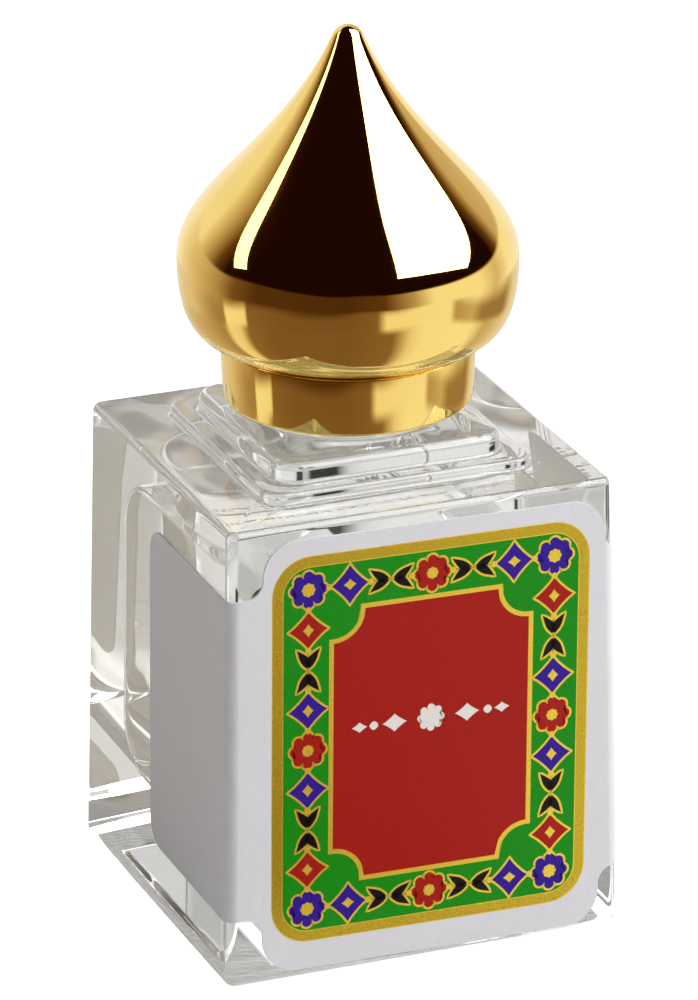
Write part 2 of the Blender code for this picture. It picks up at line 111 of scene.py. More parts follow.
# Paper label and its print, in layers off the glass
LABEL_EMBED = 0.00001
PAPER_FACE = 0.00015
INK_STEP = 0.000005
PANEL_WIDTH = 0.0262
PANEL_HEIGHT = 0.0330
PANEL_MIDDLE = Vector((0.0007, 0.0172))
PANEL_CORNER_RADIUS = 0.0026
WING_HEIGHT = 0.0245
WING_MIDDLE_Z = 0.01735
WING_REACH = 0.0150
WING_CORNER_RADIUS = 0.0020
WING_FILLET_RADIUS = 0.0014
LABEL_TILT = radians(0.85)
FRAME_MIDDLE = Vector((0.00045, 0.0176))
FRAME_WIDTH = 0.0244
FRAME_HEIGHT = 0.0296
FRAME_CORNER_RADIUS = 0.0029
FRAME_BAND = 0.00087
FRAME_EDGE = 0.00007
CENTRE_WIDTH = 0.0150
CENTRE_HEIGHT = 0.0206
CENTRE_SCOOP = 0.0024
GOLD_LINE = 0.00036
GOLD_OUTLINE = 0.00017
BORDER_X = 0.00945
BORDER_Z = 0.01225
BORDER_COUNT_X = 6
BORDER_COUNT_Z = 8
DOT_RADIUS = 0.00024

# Ornaments: radii, half widths and heights, and a leaf's length, half width and curl
CORNER_ROSETTE = 0.0014
CORNER_HEART = 0.000525
SIDE_ROSETTE = 0.001375
SIDE_HEART = 0.00045
LOZENGE = (0.0014, 0.001475)
LOZENGE_HEART = (0.0005, 0.000425)
LEAF = (0.0014375, 0.000375, 0.000775)
LEAF_STALK = Vector((0.0002, 0.0001))

# Pale row in the middle of the red panel
ROW_Z = 0.0012
ROW_ROSETTE = 0.00105
ROW_DOT = 0.00032
ROW_DOT_X = 0.0044
ROW_LOZENGES = ((0.00095, 0.0007, 0.0028), (0.0006, 0.0004, 0.0055))      # half width and height, then x

# Roll-on fitment
BALL_RADIUS = 0.0040
BALL_GAP = 0.00025
LIP_SHARE = 0.5
LIP_WIDTH = 0.0008
HEAD_WALL = 0.0013
FLANGE_THICKNESS = 0.0012
FLANGE_SETBACK = 0.0003
FLANGE_CHAMFER = 0.0003
SEAT_GAP = 0.00005
PLUG_LENGTH = 0.0075
PLUG_GAP = 0.00025
PLUG_WALL = 0.0007
PLUG_SKIRT_WALL = 0.0010
PLUG_LEAD_IN = 0.0006
RIB_COUNT = 3
RIB_HEIGHT = 0.00017
RIB_PITCH = 0.0012
RIB_SHARES = ((0, 0), (0.8, 0.15), (1, 0.5), (0.85, 1))        # out and down, of a rib's height
FEED_HOLE_RADIUS = 0.0012
WEB_THICKNESS = 0.0012

# Inner cap and seal
INSERT_WALL = 0.0007
INSERT_GAP = 0.0004
INSERT_SETBACK = 0.0004
SEAL_THICKNESS = 0.0010
SEAL_GAP = 0.0002
SEAL_SIDE_GAP = 0.00015
SEAL_ROUND = 0.00012
SEAL_STEPS = 4

# Gold cap
GLUE_GAP = 0.00015
CAP_GAP = 0.0013
COLLAR_HEIGHT = 0.0044
COLLAR_WALL = 0.0008
COLLAR_FLARE = 0.0002
COLLAR_EDGE_RADIUS = 0.0003
COLLAR_LIP_RADIUS = 0.00012
COLLAR_LIP_STEPS = 6
GROOVE_DEPTH = 0.00035
GROOVE_WIDTH = 0.00035
GROOVE_CREST_SHARE = 0.7
DOME_WALL = 0.0011
DOME_OVERHANG = 0.00325
DOME_FOOT_OVERHANG = 0.00035
EQUATOR_RISE = 0.0059
UNDERCUT_DROP = 0.00355
UNDERCUT_REACH = 0.00213
UNDERCUT_TURN = 0.0002
FLANK_RISE = 0.0046
FLANK_DROP = 0.0095
FLANK_ANGLE = radians(24.4)
NOSE_RADIUS = 0.0012
NOSE_RISE = 0.0083

# Facets
CORNER_STEPS = 16
SIDE_STEPS = 24
QUARTER_STEPS = 12
BEND_STEPS = 14
TURN_STEPS = 256
SMALL_TURN_STEPS = 128
FLANK_STEPS = 96
THREAD_LEVELS = 96
THREAD_STEPS = 4
PETAL_STEPS = 12
LOZENGE_STEPS = 48
QUARTERS = ((1, -1), (1, 1), (-1, 1), (-1, -1))
LEAF_STEPS = 16
STAGE_STEPS = 96
OUTLINE_POINTS = 4 * (CORNER_STEPS + SIDE_STEPS)
MERGE_DISTANCE = 1e-8
MITRE_LIMIT = 0.6

# Refraction
GLASS_IOR = 1.52
OIL_IOR = 1.46

# Colours as 8-bit sRGB
PAPER_COLOUR = (214, 213, 217)
PAPER_BACK_COLOUR = (250, 248, 241)
GREEN_INK = (14, 137, 8)
RED_INK = (163, 18, 6)
VIOLET_INK = (48, 14, 142)
BLACK_INK = (16, 8, 10)
PALE_INK = (226, 220, 214)
FOIL_SHADES = ((182, 152, 34), (218, 188, 54))
FOIL_LINE_SHADES = ((226, 192, 62), (250, 220, 84))

# Colours as linear RGBA
GLASS_TINT = (0.992, 0.996, 0.994, 1.0)
STIPPLE_TINT = (0.985, 0.992, 0.988, 1.0)
OIL_TINT = (0.995, 0.990, 0.975, 1.0)
OIL_TINTS = ((0.996, 0.992, 0.978, 1.0), (0.994, 0.988, 0.970, 1.0))
GOLD = (0.95, 0.69, 0.20, 1.0)
GOLD_TINTS = ((0.94, 0.675, 0.19, 1.0), (0.96, 0.705, 0.215, 1.0))
STEEL = (0.78, 0.78, 0.80, 1.0)
FITMENT_PLASTIC = (0.84, 0.85, 0.84, 1.0)
CAP_PLASTIC = (0.82, 0.82, 0.80, 1.0)
FOAM = (0.86, 0.86, 0.84, 1.0)
FOAM_TINTS = ((0.88, 0.88, 0.86, 1.0), (0.76, 0.76, 0.74, 1.0))

# Stage and lights
UP = Vector((0, 0, 1))
WHITE = (1.0, 1.0, 1.0, 1.0)
FLOOR_RADIUS = 0.60
FLOOR_FADE = (0.26, 0.56)
FLOOR_COLOUR = (0.62, 0.61, 0.60, 1.0)
FLOOR_IN_GLASS = (0.46, 0.45, 0.42, 1.0)
FLOOR_LIFT = 0.80
# Painted glow on the floor that only rays through the glass see: pools of light, a bright ring under the
# bottle's edge and a faint glow beyond
PAINTED_POOL_GLOWS = (0.05, 0.28)
PAINTED_POOL_SIZE = 0.0060
PAINTED_POOL_EDGES = (0.44, 0.58)
PAINTED_RING_GLOW = 0.62
BORDER_RANGE = (0.0100, 0.0120)
# Painted gold glints in that glow
PAINTED_GLINT_COLOUR = (1.0, 0.74, 0.38, 1.0)
PAINTED_GLINT_SIZE = 0.0035
PAINTED_GLINT_EDGES = (0.55, 0.64)
PAINTED_GLOW_BEYOND = 0.02
BEYOND_RANGE = (0.0180, 0.024)
WORLD_DIFFUSE = 0.22
# Painted reflections in the gold, and the painted studio in the glass, turn gold as they darken
PAINTED_MIRROR_WARMTH = (1.35, 1.8)     # powers of the brightness in green and blue
PAINTED_GLASS_WARMTH = (1.01, 1.06)
LAMP_REACH = 0.5
LAMP_CENTRE_Z = 0.05
WARM_LIGHT = (1.0, 0.96, 0.88)
WHITE_LIGHT = (1.0, 1.0, 1.0)
LAMPS = (
    # Level bearing, two ends and height of the lower edge, then lean, length, brightness and colour
    ("softbox_right", radians(26.6), (0.166, 1.913), 0.555, radians(32), 1.25, 5.9, WHITE_LIGHT),
    ("strip_left", radians(-26.6), (-1.61, -1.13), 0.59, radians(48), 1.1, 3.5, WARM_LIGHT))
MAT_INNER_RADIUS = 0.026
MAT_OUTER_RADIUS = 1.2
MAT_HEIGHT = 0.0002
MIRROR_CENTRE_Z = 0.045
MIRROR_WAVE = radians(5)
MIRROR_WAVE_SIZE = 0.7
BOUNCES = 24

# Painted reflections: brightness of the studio in the cap's mirror, by bearing in degrees from the camera's
# side
TABLE_STOPS = ((-180, 0.9), (-112, 0.55), (-93, 0.42), (-86, 0.95), (-77, 0.85), (-70, 0.28), (-50, 0.22),
               (0, 0.21), (30, 0.26), (42, 0.85), (52, 1.0), (92, 1.0), (108, 0.6), (135, 0.8), (180, 0.9))
COLLAR_STOPS = ((-180, 0.9), (-125, 0.75), (-100, 0.42), (-90, 0.38), (-88, 1.0), (-71, 0.95), (-69, 0.26),
                (-45, 0.21), (0, 0.20), (19, 0.24), (25, 0.95), (70, 1.0), (75, 0.5), (90, 0.62),
                (100, 0.36), (128, 0.34), (142, 0.8), (180, 0.9))
HORIZON_STOPS = ((-180, 1.0), (-150, 1.0), (-112, 0.65), (-94, 0.45), (-80, 0.18), (-62, 0.09), (0, 0.08),
                 (24, 0.11), (44, 0.5), (58, 1.0), (96, 1.0), (113, 0.7), (130, 1.0), (180, 1.0))
ROOM_STOPS = ((-180, 0.78), (-165, 0.95), (-128, 0.95), (-112, 0.5), (-100, 0.12), (-90, 0.02),
              (-70, 0.012), (115, 0.012), (122, 0.12), (131, 0.6), (150, 0.66), (180, 0.78))
CEILING_STOPS = ((-180, 0.012), (180, 0.012))

# The same painted studio as the glass shows it, paler, with painted dark gaps round the camera in place of
# gaps between cards
LEFT_STOPS = ((-112, 0.48), (-93, 0.42), (-84, 0.85), (-72, 0.8), (-60, 0.42))
RIGHT_STOPS = ((-40, 0.38), (30, 0.45), (75, 0.6), (100, 0.8), (112, 1.0), (148, 1.0))
NEAR_TABLE_STOPS = ((-180, 0.62), (-150, 0.6), *LEFT_STOPS, *RIGHT_STOPS, (160, 0.7), (180, 0.62))
# Painted shade: a dark band in the studio that the glass shows
SHADE_STOPS = ((-180, 0.8), (-176, 0.7), (-173, 0.02), (-162, 0.02), (-158, 0.5), *LEFT_STOPS,
               *RIGHT_STOPS, (160, 0.8), (180, 0.8))
FAR_TABLE_STOPS = ((-180, 0.82), (-172, 0.78), (-162, 0.48), (-140, 0.52), *LEFT_STOPS, (-40, 0.45),
                   (30, 0.45), (100, 0.6), (130, 0.66), (160, 0.76), (180, 0.82))
GLASS_HORIZON_STOPS = ((-180, 0.6), (-140, 0.7), (-110, 1.5), (-50, 1.5), (-30, 1.3), (15, 1.2),
                       (60, 0.5), (100, 0.4), (130, 0.55), (160, 0.68), (180, 0.6))
GLASS_ROOM_STOPS = ((-180, 0.55), (-165, 0.6), (-150, 1.5), (-70, 1.5), (-62, 0.04), (-42, 0.03),
                    (-36, 0.9), (-9, 1.05), (9, 1.05), (16, 0.7), (19, 0.03), (27, 0.03), (32, 0.8),
                    (53, 0.8), (58, 0.03), (100, 0.05), (112, 0.7), (180, 0.55))
GLASS_CEILING_STOPS = ((-180, 0.8), (180, 0.8))

# Each layer of a studio starts across a narrow range of elevations, above the layer before it
PAINTED_MIRROR_STUDIO = ((-90, -89, TABLE_STOPS), (-28, -24, COLLAR_STOPS), (-21, -16, HORIZON_STOPS),
                 (6, 10, ROOM_STOPS), (44, 54, CEILING_STOPS))
PAINTED_GLASS_STUDIO = ((-90, -89, NEAR_TABLE_STOPS), (-34.5, -33.8, SHADE_STOPS), (-28.5, -27.8, FAR_TABLE_STOPS),
                (-20, -15, GLASS_HORIZON_STOPS), (6, 10, GLASS_ROOM_STOPS), (44, 54, GLASS_CEILING_STOPS))


def srgb(colour):
    """Linear RGBA of an 8-bit sRGB colour."""
    shares = [c / 255 for c in colour]
    return (*[s / 12.92 if s <= 0.04045 else ((s + 0.055) / 1.055) ** 2.4 for s in shares], 1.0)


# Levels and radii that several pieces share

def half_width(z):
    return BODY_WIDTH / 2 + WALL_LEAN * (1 - 2 * z / BODY_HEIGHT)


def half_depth(z):
    return BODY_DEPTH / 2 + WALL_LEAN * (1 - 2 * z / BODY_HEIGHT)


PLINTH_TOP = BODY_HEIGHT + LOWER_STEP_HEIGHT + UPPER_STEP_HEIGHT
RIM_Z = PLINTH_TOP + NECK_HEIGHT
SOCKET_RADIUS = BALL_RADIUS + BALL_GAP
PLUG_RADIUS = NECK_BORE_RADIUS - PLUG_GAP
BALL_Z = RIM_Z + sqrt(SOCKET_RADIUS ** 2 - (PLUG_RADIUS - PLUG_WALL) ** 2)
LIP_Z = BALL_Z + BALL_RADIUS * LIP_SHARE
FLANGE_TOP = RIM_Z + SEAT_GAP + FLANGE_THICKNESS
HEAD_RADIUS = SOCKET_RADIUS + HEAD_WALL
SEAL_Z = BALL_Z + BALL_RADIUS + SEAL_GAP
ROOF_Z = SEAL_Z + SEAL_THICKNESS + SEAL_SIDE_GAP
INSERT_TOP = ROOF_Z + INSERT_WALL
THREAD_BORE = NECK_RADIUS + THREAD_HEIGHT + THREAD_GAP
COLLAR_BORE = THREAD_BORE + INSERT_WALL + GLUE_GAP
COLLAR_RADIUS = COLLAR_BORE + COLLAR_WALL
COLLAR_BOTTOM = PLINTH_TOP + CAP_GAP
NOSE_Z = INSERT_TOP + NOSE_RISE
CAVITY_HALF_WIDTH = BODY_WIDTH / 2 - SIDE_WALL
CAVITY_HALF_DEPTH = BODY_DEPTH / 2 - SIDE_WALL
CAVITY_ROOF_Z = BODY_HEIGHT - SHOULDER_THICKNESS
OIL_Z = RIM_Z - PLUG_LENGTH - FILL_HEADSPACE


# Outlines and profiles

def arc(centre, radius, start, end, steps=QUARTER_STEPS):
    """Points round a centre from one angle to another, in degrees."""
    angles = [radians(start + (end - start) * k / steps) for k in range(steps + 1)]
    return [(centre[0] + radius * cos(a), centre[1] + radius * sin(a)) for a in angles]


def rounding(corner, radius, start, end, steps=QUARTER_STEPS):
    """An arc inside a sharp corner, or in its cove, between two angles of one quarter."""
    middle = radians((start + end) / 2)
    centre = (corner[0] - copysign(radius, cos(middle)), corner[1] - copysign(radius, sin(middle)))
    return arc(centre, radius, start, end, steps)


def bezier(a, b, c, d, steps):
    """Points along a cubic curve from a to d."""
    points = []
    for k in range(steps + 1):
        t = k / steps
        weights = ((1 - t) ** 3, 3 * t * (1 - t) ** 2, 3 * t * t * (1 - t), t ** 3)
        points.append(tuple(sum(w * p[i] for w, p in zip(weights, (a, b, c, d))) for i in (0, 1)))
    return points


def rounded_rectangle(half_x, half_y, radius, z):
    """One level of a square loft, from the +X side, anticlockwise."""
    radius = max(radius, LEAST_CORNER_RADIUS)
    rounds = [rounding((x * half_x, y * half_y), radius, 90 * k, 90 * k + 90, CORNER_STEPS)
              for k, (x, y) in enumerate(((1, 1), (-1, 1), (-1, -1), (1, -1)))]
    points = []
    for k, corner_round in enumerate(rounds):
        here, there = Vector(corner_round[-1]), Vector(rounds[(k + 1) % 4][0])
        points += corner_round
        points += [here.lerp(there, s / SIDE_STEPS)[:] for s in range(1, SIDE_STEPS)]
    return [Vector((x, y, z)) for x, y in points]


def circle(radius, z, rise=None):
    """One level of a round loft. A rise adds to the radius at each angle."""
    step = 2 * pi / OUTLINE_POINTS
    first = pi / 4 - step * CORNER_STEPS / 2
    points = []
    for k in range(OUTLINE_POINTS):
        angle = first + step * k
        reach = radius + (rise(angle, z) if rise else 0)
        points.append(Vector((reach * cos(angle), reach * sin(angle), z)))
    return points


def between(level, other, rise=0.0):
    """Levels that turn one outline into another, crowned by a rise."""
    blended = []
    for step in range(1, QUARTER_STEPS):
        share = step / QUARTER_STEPS
        crown = Vector((0, 0, rise * (sin(share * pi / 2) - share)))
        blended.append([a.lerp(b, share) + crown for a, b in zip(level, other)])
    return blended


def smooth_share(x):
    x = min(max(x, 0.0), 1.0)
    return x * x * (3 - 2 * x)


def thread_rise(angle, z, start, turns):
    """Height of a right-handed thread above its root."""
    share = angle / (2 * pi) % 1
    rise = 0.0
    for k in range(-1, int(turns) + 2):
        along = share + k
        if 0 <= along <= turns:
            off = abs(z - start - THREAD_PITCH * along)
            ridge = smooth_share((1 - off / THREAD_HALF_WIDTH) * THREAD_STEEPNESS)
            fade = smooth_share(min(along, turns - along) / THREAD_FADE_TURNS)
            rise = max(rise, THREAD_HEIGHT * ridge * fade)
    return rise


def neck_thread(angle, z):
    return thread_rise(angle, z, PLINTH_TOP + NECK_THREAD_START, NECK_THREAD_TURNS)


# Mesh builders

def finished_object(name, bm, materials, sharp_degrees=None):
    """An object from a mesh in the making, smooth but for edges past an angle."""
    mesh = bpy.data.meshes.new(name)
    bmesh.ops.recalc_face_normals(bm, faces=bm.faces)
    bm.to_mesh(mesh)
    bm.free()
    mesh.shade_smooth()
    if sharp_degrees:
        mesh.set_sharp_from_angle(angle=radians(sharp_degrees))
    for material in materials:
        mesh.materials.append(material)
    piece = bpy.data.objects.new(name, mesh)
    bpy.context.scene.collection.objects.link(piece)
    return piece


def weigh_normals(piece):
    """Keeps the flat sides flat in the shading beside their rounded edges."""
    weighted = piece.modifiers.new("flat_sides", "WEIGHTED_NORMAL")
    weighted.mode = "FACE_AREA"
    weighted.weight = 100
    weighted.keep_sharp = True


def loft(levels, material_of_band):
    """A closed skin through rings of matching points, with a face over each end."""
    bm = bmesh.new()
    rings = [[bm.verts.new(point) for point in level] for level in levels]
    for index, (lower, upper) in enumerate(zip(rings, rings[1:])):
        for k, vertex in enumerate(lower):
            face = bm.faces.new((lower[k - 1], vertex, upper[k], upper[k - 1]))
            face.material_index = material_of_band(index)
    bm.faces.new(rings[0])
    bm.faces.new(rings[-1]).material_index = material_of_band(len(rings) - 2)
    return bm


def lathe(profile, steps, rise=None, closed=False):
    """A profile of radius and height turned about Z. A closed profile stays clear of the axis."""
    bm = bmesh.new()
    rings = []
    for r, z in profile:
        ring = []
        for k in range(steps if r > MERGE_DISTANCE else 1):
            angle = 2 * pi * k / steps
            reach = r + (rise(angle, r, z) if rise else 0)
            ring.append(bm.verts.new((reach * cos(angle), reach * sin(angle), z)))
        rings.append(ring)
    for one, other in zip(rings, rings[1:] + rings[:1] if closed else rings[1:]):
        for k in range(steps):
            corners = dict.fromkeys((one[k % len(one)], one[(k + 1) % len(one)],
                                     other[(k + 1) % len(other)], other[k % len(other)]))
            if len(corners) > 2:
                bm.faces.new(list(corners))
    return bm


# Node materials

def add_node(tree, kind, inputs=None, **settings):
    made = tree.nodes.new("ShaderNode" + kind)
    for name, value in settings.items():
        setattr(made, name, value)
    for name, value in (inputs or {}).items():
        if isinstance(value, bpy.types.NodeSocket):
            tree.links.new(value, made.inputs[name])
        else:
            made.inputs[name].default_value = value
    return made


def arithmetic(tree, operation, *values):
    return add_node(tree, "Math", dict(enumerate(values)), operation=operation).outputs["Value"]


def step_up(tree, value, start, end):
    """Goes smoothly from nought to one between two values."""
    return add_node(tree, "MapRange", {"Value": value, "From Min": start, "From Max": end},
                    interpolation_type="SMOOTHSTEP").outputs["Result"]


def mix_values(tree, share, low, high):
    return add_node(tree, "Mix", {0: share, 2: low, 3: high}).outputs[0]


def mix_colours(tree, share, low, high):
    return add_node(tree, "Mix", {0: share, 6: low, 7: high}, data_type="RGBA").outputs[2]


def new_material(name, colour, roughness, metallic=0.0, **sockets):
    material = bpy.data.materials.new(name)
    material.use_nodes = True
    material.diffuse_color = colour
    shader = material.node_tree.nodes["Principled BSDF"]
    sockets.update(Base_Color=colour, Roughness=roughness, Metallic=metallic)
    for socket, value in sockets.items():
        shader.inputs[socket.replace("_", " ")].default_value = value
    return material


def noise(material, size, detail, stretch=(1, 1, 1)):
    """A noise of the given feature size, fixed to the piece."""
    tree = material.node_tree
    place = add_node(tree, "TexCoord").outputs["Object"]
    scaled = add_node(tree, "Mapping", {"Vector": place, "Scale": stretch}).outputs["Vector"]
    pattern = {"Vector": scaled, "Scale": 1 / size, "Detail": detail}
    return add_node(tree, "TexNoise", pattern).outputs["Fac"]


def cells(material, size):
    """Cells of the given size, fixed to the piece, each lowest in its middle."""
    tree = material.node_tree
    place = add_node(tree, "TexCoord").outputs["Object"]
    return add_node(tree, "TexVoronoi", {"Vector": place, "Scale": 1 / size}).outputs["Distance"]


def vary(material, by, tints=None, span=(0.3, 0.7), roughness=None, depth=None):
    """Lets a pattern drive colour and roughness, each between two ends, and a relief of a real depth."""
    tree = material.node_tree
    shader = tree.nodes["Principled BSDF"].inputs
    if tints:
        ramp = add_node(tree, "ValToRGB", {"Fac": by})
        for element, place, tint in zip(ramp.color_ramp.elements, span, tints):
            element.position = place
            element.color = tint
        tree.links.new(ramp.outputs["Color"], shader["Base Color"])
    if roughness:
        spread = add_node(tree, "MapRange", {"Value": by, "To Min": roughness[0], "To Max": roughness[1]})
        tree.links.new(spread.outputs["Result"], shader["Roughness"])
    if depth:
        relief = add_node(tree, "Bump", {"Height": by, "Distance": depth, "Strength": 1.0})
        tree.links.new(relief.outputs["Normal"], shader["Normal"])
    return material


def noisy(material, size, detail, stretch=(1, 1, 1), **looks):
    """Varies the looks of a material by one noise."""
    return vary(material, noise(material, size, detail, stretch), **looks)


def shades(colour, share):
    """A darker shade of a colour, and the colour."""
    return tuple(c * share for c in colour[:3]) + (1.0,), colour


def clear_material(name, colour, ior, roughness=0.0):
    return new_material(name, colour, roughness, IOR=ior, Transmission_Weight=1.0)


def glass_material(name, ior):
    return noisy(clear_material(name, GLASS_TINT, ior), size=0.009, detail=1.0, depth=0.000006)


def stippled_glass_material():
    """The ring that the bottle stands on is stippled by the mould."""
    glass = clear_material("stippled_glass", STIPPLE_TINT, GLASS_IOR, roughness=0.06)
    return vary(glass, cells(glass, size=0.0005), depth=0.00016)


def oil_body_material():
    """Below its surface the oil meets the glass: the wall of the glass bends the light there."""
    return noisy(clear_material("oil_body", OIL_TINT, ior=1.0), size=0.006, detail=2.0, tints=OIL_TINTS)


def oil_surface_material():
    return noisy(clear_material("oil_surface", OIL_TINT, OIL_IOR), size=0.007, detail=1.0, depth=0.00001)


def gold_material():
    gold = new_material("gold_plate", GOLD, roughness=0.03, metallic=1.0)
    noisy(gold, size=0.004, detail=4.0, tints=GOLD_TINTS, roughness=(0.018, 0.045))
    return noisy(gold, size=0.005, detail=1.0, depth=0.000005)


def paper_material(name, colour):
    bright = srgb(colour)
    paper = new_material(name, bright, roughness=0.5)
    fibre = noise(paper, size=0.0004, detail=6.0, stretch=(1, 1, 0.45))
    mottle = arithmetic(paper.node_tree, "MULTIPLY", fibre, noise(paper, size=0.005, detail=2.0))
    vary(paper, mottle, tints=shades(bright, 0.955), span=(0.12, 0.42))
    return vary(paper, fibre, roughness=(0.42, 0.62), depth=0.000012)


def ink_material(name, colour, shade=0.86):
    bright = srgb(colour)
    ink = new_material(name, bright, roughness=0.4, Specular_IOR_Level=0.15, Coat_Weight=0.05,
                       Coat_Roughness=0.2)
    return noisy(ink, size=0.00016, detail=4.0, tints=shades(bright, shade), span=(0.35, 0.6),
                 roughness=(0.28, 0.45), depth=0.000004)


def foil_material(name, colours):
    """Printed gold: metal flakes of differing brightness."""
    tints = [srgb(colour) for colour in colours]
    foil = new_material(name, tints[1], roughness=0.34, metallic=0.75)
    return noisy(foil, size=0.00008, detail=4.0, tints=tints, span=(0.36, 0.62),
                 roughness=(0.26, 0.50), depth=0.000010)


def plastic_material(name, colour, roughness, subsurface):
    plastic = new_material(name, colour, roughness, Subsurface_Weight=subsurface, Subsurface_Scale=0.0006)
    noisy(plastic, size=0.003, detail=2.0, tints=shades(colour, 0.97))
    return noisy(plastic, size=0.00025, detail=3.0, depth=0.000004,
                 roughness=(roughness * 0.85, roughness * 1.2))


def steel_material():
    """Polished, with fine scratches."""
    steel = new_material("polished_steel", STEEL, roughness=0.06, metallic=1.0)
    return noisy(steel, size=0.00035, detail=5.0, stretch=(1, 1, 6), roughness=(0.03, 0.11),
                 depth=0.0000006)


def foam_material():
    foam = new_material("sealing_foam", FOAM, roughness=0.85)
    return vary(foam, cells(foam, size=0.00022), tints=FOAM_TINTS, span=(0.1, 0.8), depth=0.00003)


# Glass bottle and its fill

def body_level(inset, z):
    return rounded_rectangle(half_width(z) - inset, half_depth(z) - inset, VERTICAL_EDGE_RADIUS - inset, z)


def base_levels():
    """The shallow push-up under the base, then the ring that the bottle stands on."""
    ring_inner = BASE_EDGE_RADIUS + BASE_RING_WIDTH
    levels = []
    for k in range(QUARTER_STEPS + 1):
        share = k / QUARTER_STEPS
        level = body_level(ring_inner + PUSH_UP_RUN * (1 - share), 0)
        for point in level:
            point.z = PUSH_UP_DEPTH * smooth_share(1 - share)
        levels.append(level)
    return levels + [body_level(inset, 0) for inset in STIPPLE_INSETS]


def outer_wall_levels():
    lower = rounding((0, 0), BASE_EDGE_RADIUS, 270, 180)
    upper = rounding((0, BODY_HEIGHT), SHOULDER_EDGE_RADIUS, 180, 90)
    return [body_level(inset, z) for inset, z in lower + upper]


def step_levels(half_size, corner_radius, foot_z, top_z, edge_radius):
    """One step of the plinth, from the cove at its foot to its rounded upper edge."""
    cove = rounding((half_size, foot_z), STEP_COVE, 270, 180, QUARTER_STEPS // 2)
    edge = rounding((half_size, top_z), edge_radius, 0, 90)
    flat = half_size - corner_radius
    return [rounded_rectangle(reach, reach, reach - flat, z) for reach, z in cove + edge]


def plinth_levels():
    upper_half = NECK_RADIUS + NECK_ROOT_FILLET + TOP_LEDGE + UPPER_STEP_EDGE_RADIUS
    lower_half = upper_half + STEP_COVE + STEP_LEDGE + LOWER_STEP_EDGE_RADIUS
    step_z = BODY_HEIGHT + LOWER_STEP_HEIGHT
    lower = step_levels(lower_half, LOWER_STEP_CORNER_RADIUS, BODY_HEIGHT, step_z, LOWER_STEP_EDGE_RADIUS)
    upper = step_levels(upper_half, UPPER_STEP_CORNER_RADIUS, step_z, PLINTH_TOP, UPPER_STEP_EDGE_RADIUS)
    return lower + upper


def neck_levels():
    root = rounding((NECK_RADIUS, PLINTH_TOP + CROWN_RISE), NECK_ROOT_FILLET, 270, 180)
    low, high = root[-1][1], RIM_Z - RIM_ROUNDING
    side = [circle(NECK_RADIUS, low + (high - low) * k / THREAD_LEVELS, neck_thread)
            for k in range(1, THREAD_LEVELS)]
    rim = rounding((NECK_RADIUS, RIM_Z), RIM_ROUNDING, 0, 90)
    rim += rounding((NECK_BORE_RADIUS, RIM_Z), RIM_ROUNDING, 90, 180)
    return [circle(r, z) for r, z in root] + side + [circle(r, z) for r, z in rim]


def cavity_levels(inset=0.0):
    """Down from the oil's contact line, out under the shoulder and down the walls to the floor."""
    contact = circle(NECK_BORE_RADIUS - inset, OIL_Z + MENISCUS_RISE)
    mouth = (NECK_BORE_RADIUS - inset, CAVITY_ROOF_Z - inset)
    flare = [circle(r, z) for r, z in rounding(mouth, BORE_FLARE_RADIUS + inset, 180, 270)]
    roof = rounding((inset, CAVITY_ROOF_Z - inset), CAVITY_ROOF_RADIUS, 90, 180)
    floor = rounding((inset, BASE_THICKNESS + inset), CAVITY_FLOOR_RADIUS, 180, 270, CORNER_STEPS)
    walls = [rounded_rectangle(CAVITY_HALF_WIDTH - i, CAVITY_HALF_DEPTH - i, CAVITY_CORNER_RADIUS - i, z)
             for i, z in roof + floor]
    return [contact] + flare + between(flare[-1], walls[0]) + walls


def make_glass():
    """The cavity's wall below the contact line meets oil in place of air."""
    plinth, neck = plinth_levels(), neck_levels()
    dry = base_levels() + outer_wall_levels() + plinth
    dry += between(plinth[-1], neck[0], CROWN_RISE) + neck
    wet, stippled = len(dry), QUARTER_STEPS + 1
    bm = loft(dry + cavity_levels(), lambda band: 1 if band >= wet else 2 if band == stippled else 0)
    against_air = glass_material("clear_flint_glass", GLASS_IOR)
    against_oil = glass_material("glass_against_oil", GLASS_IOR / OIL_IOR)
    glass = finished_object("bottle_glass", bm, [against_air, against_oil, stippled_glass_material()])
    weigh_normals(glass)
    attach(glass, "bottle")
    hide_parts("glass_bottle")


def make_oil():
    """A still fill whose surface climbs the bore in a small meniscus."""
    body = cavity_levels(OIL_INSET)[::-1]
    surface = []
    for k in range(1, QUARTER_STEPS + 1):
        share = k / QUARTER_STEPS
        radius = NECK_BORE_RADIUS - OIL_INSET - MENISCUS_REACH * share
        surface.append(circle(radius, OIL_Z + MENISCUS_RISE * (1 - share) ** 2))
    first_open = len(body) - 1
    bm = loft(body + surface, lambda band: 1 if band >= first_open else 0)
    oil = finished_object("oil_fill", bm, [oil_body_material(), oil_surface_material()], sharp_degrees=40)
    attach(oil, "bottle")
    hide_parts("fragrance_oil")


# Label

def rounded_polygon(corners, steps=QUARTER_STEPS):
    """A flat outline with its corners, given as x, z and radius, rounded in or out."""
    outline = []
    for k, (x, z, radius) in enumerate(corners):
        corner = Vector((x, z))
        before = (Vector(corners[k - 1][:2]) - corner).normalized()
        after = (Vector(corners[(k + 1) % len(corners)][:2]) - corner).normalized()
        centre = corner + (before + after) * radius
        for s in range(steps + 1):
            turn = pi / 2 * s / steps
            outline.append(centre - after * radius * cos(turn) - before * radius * sin(turn))
    return outline


def tilted(points):
    tilt = Matrix.Rotation(-LABEL_TILT, 2)
    return [PANEL_MIDDLE + tilt @ (point - PANEL_MIDDLE) for point in points]


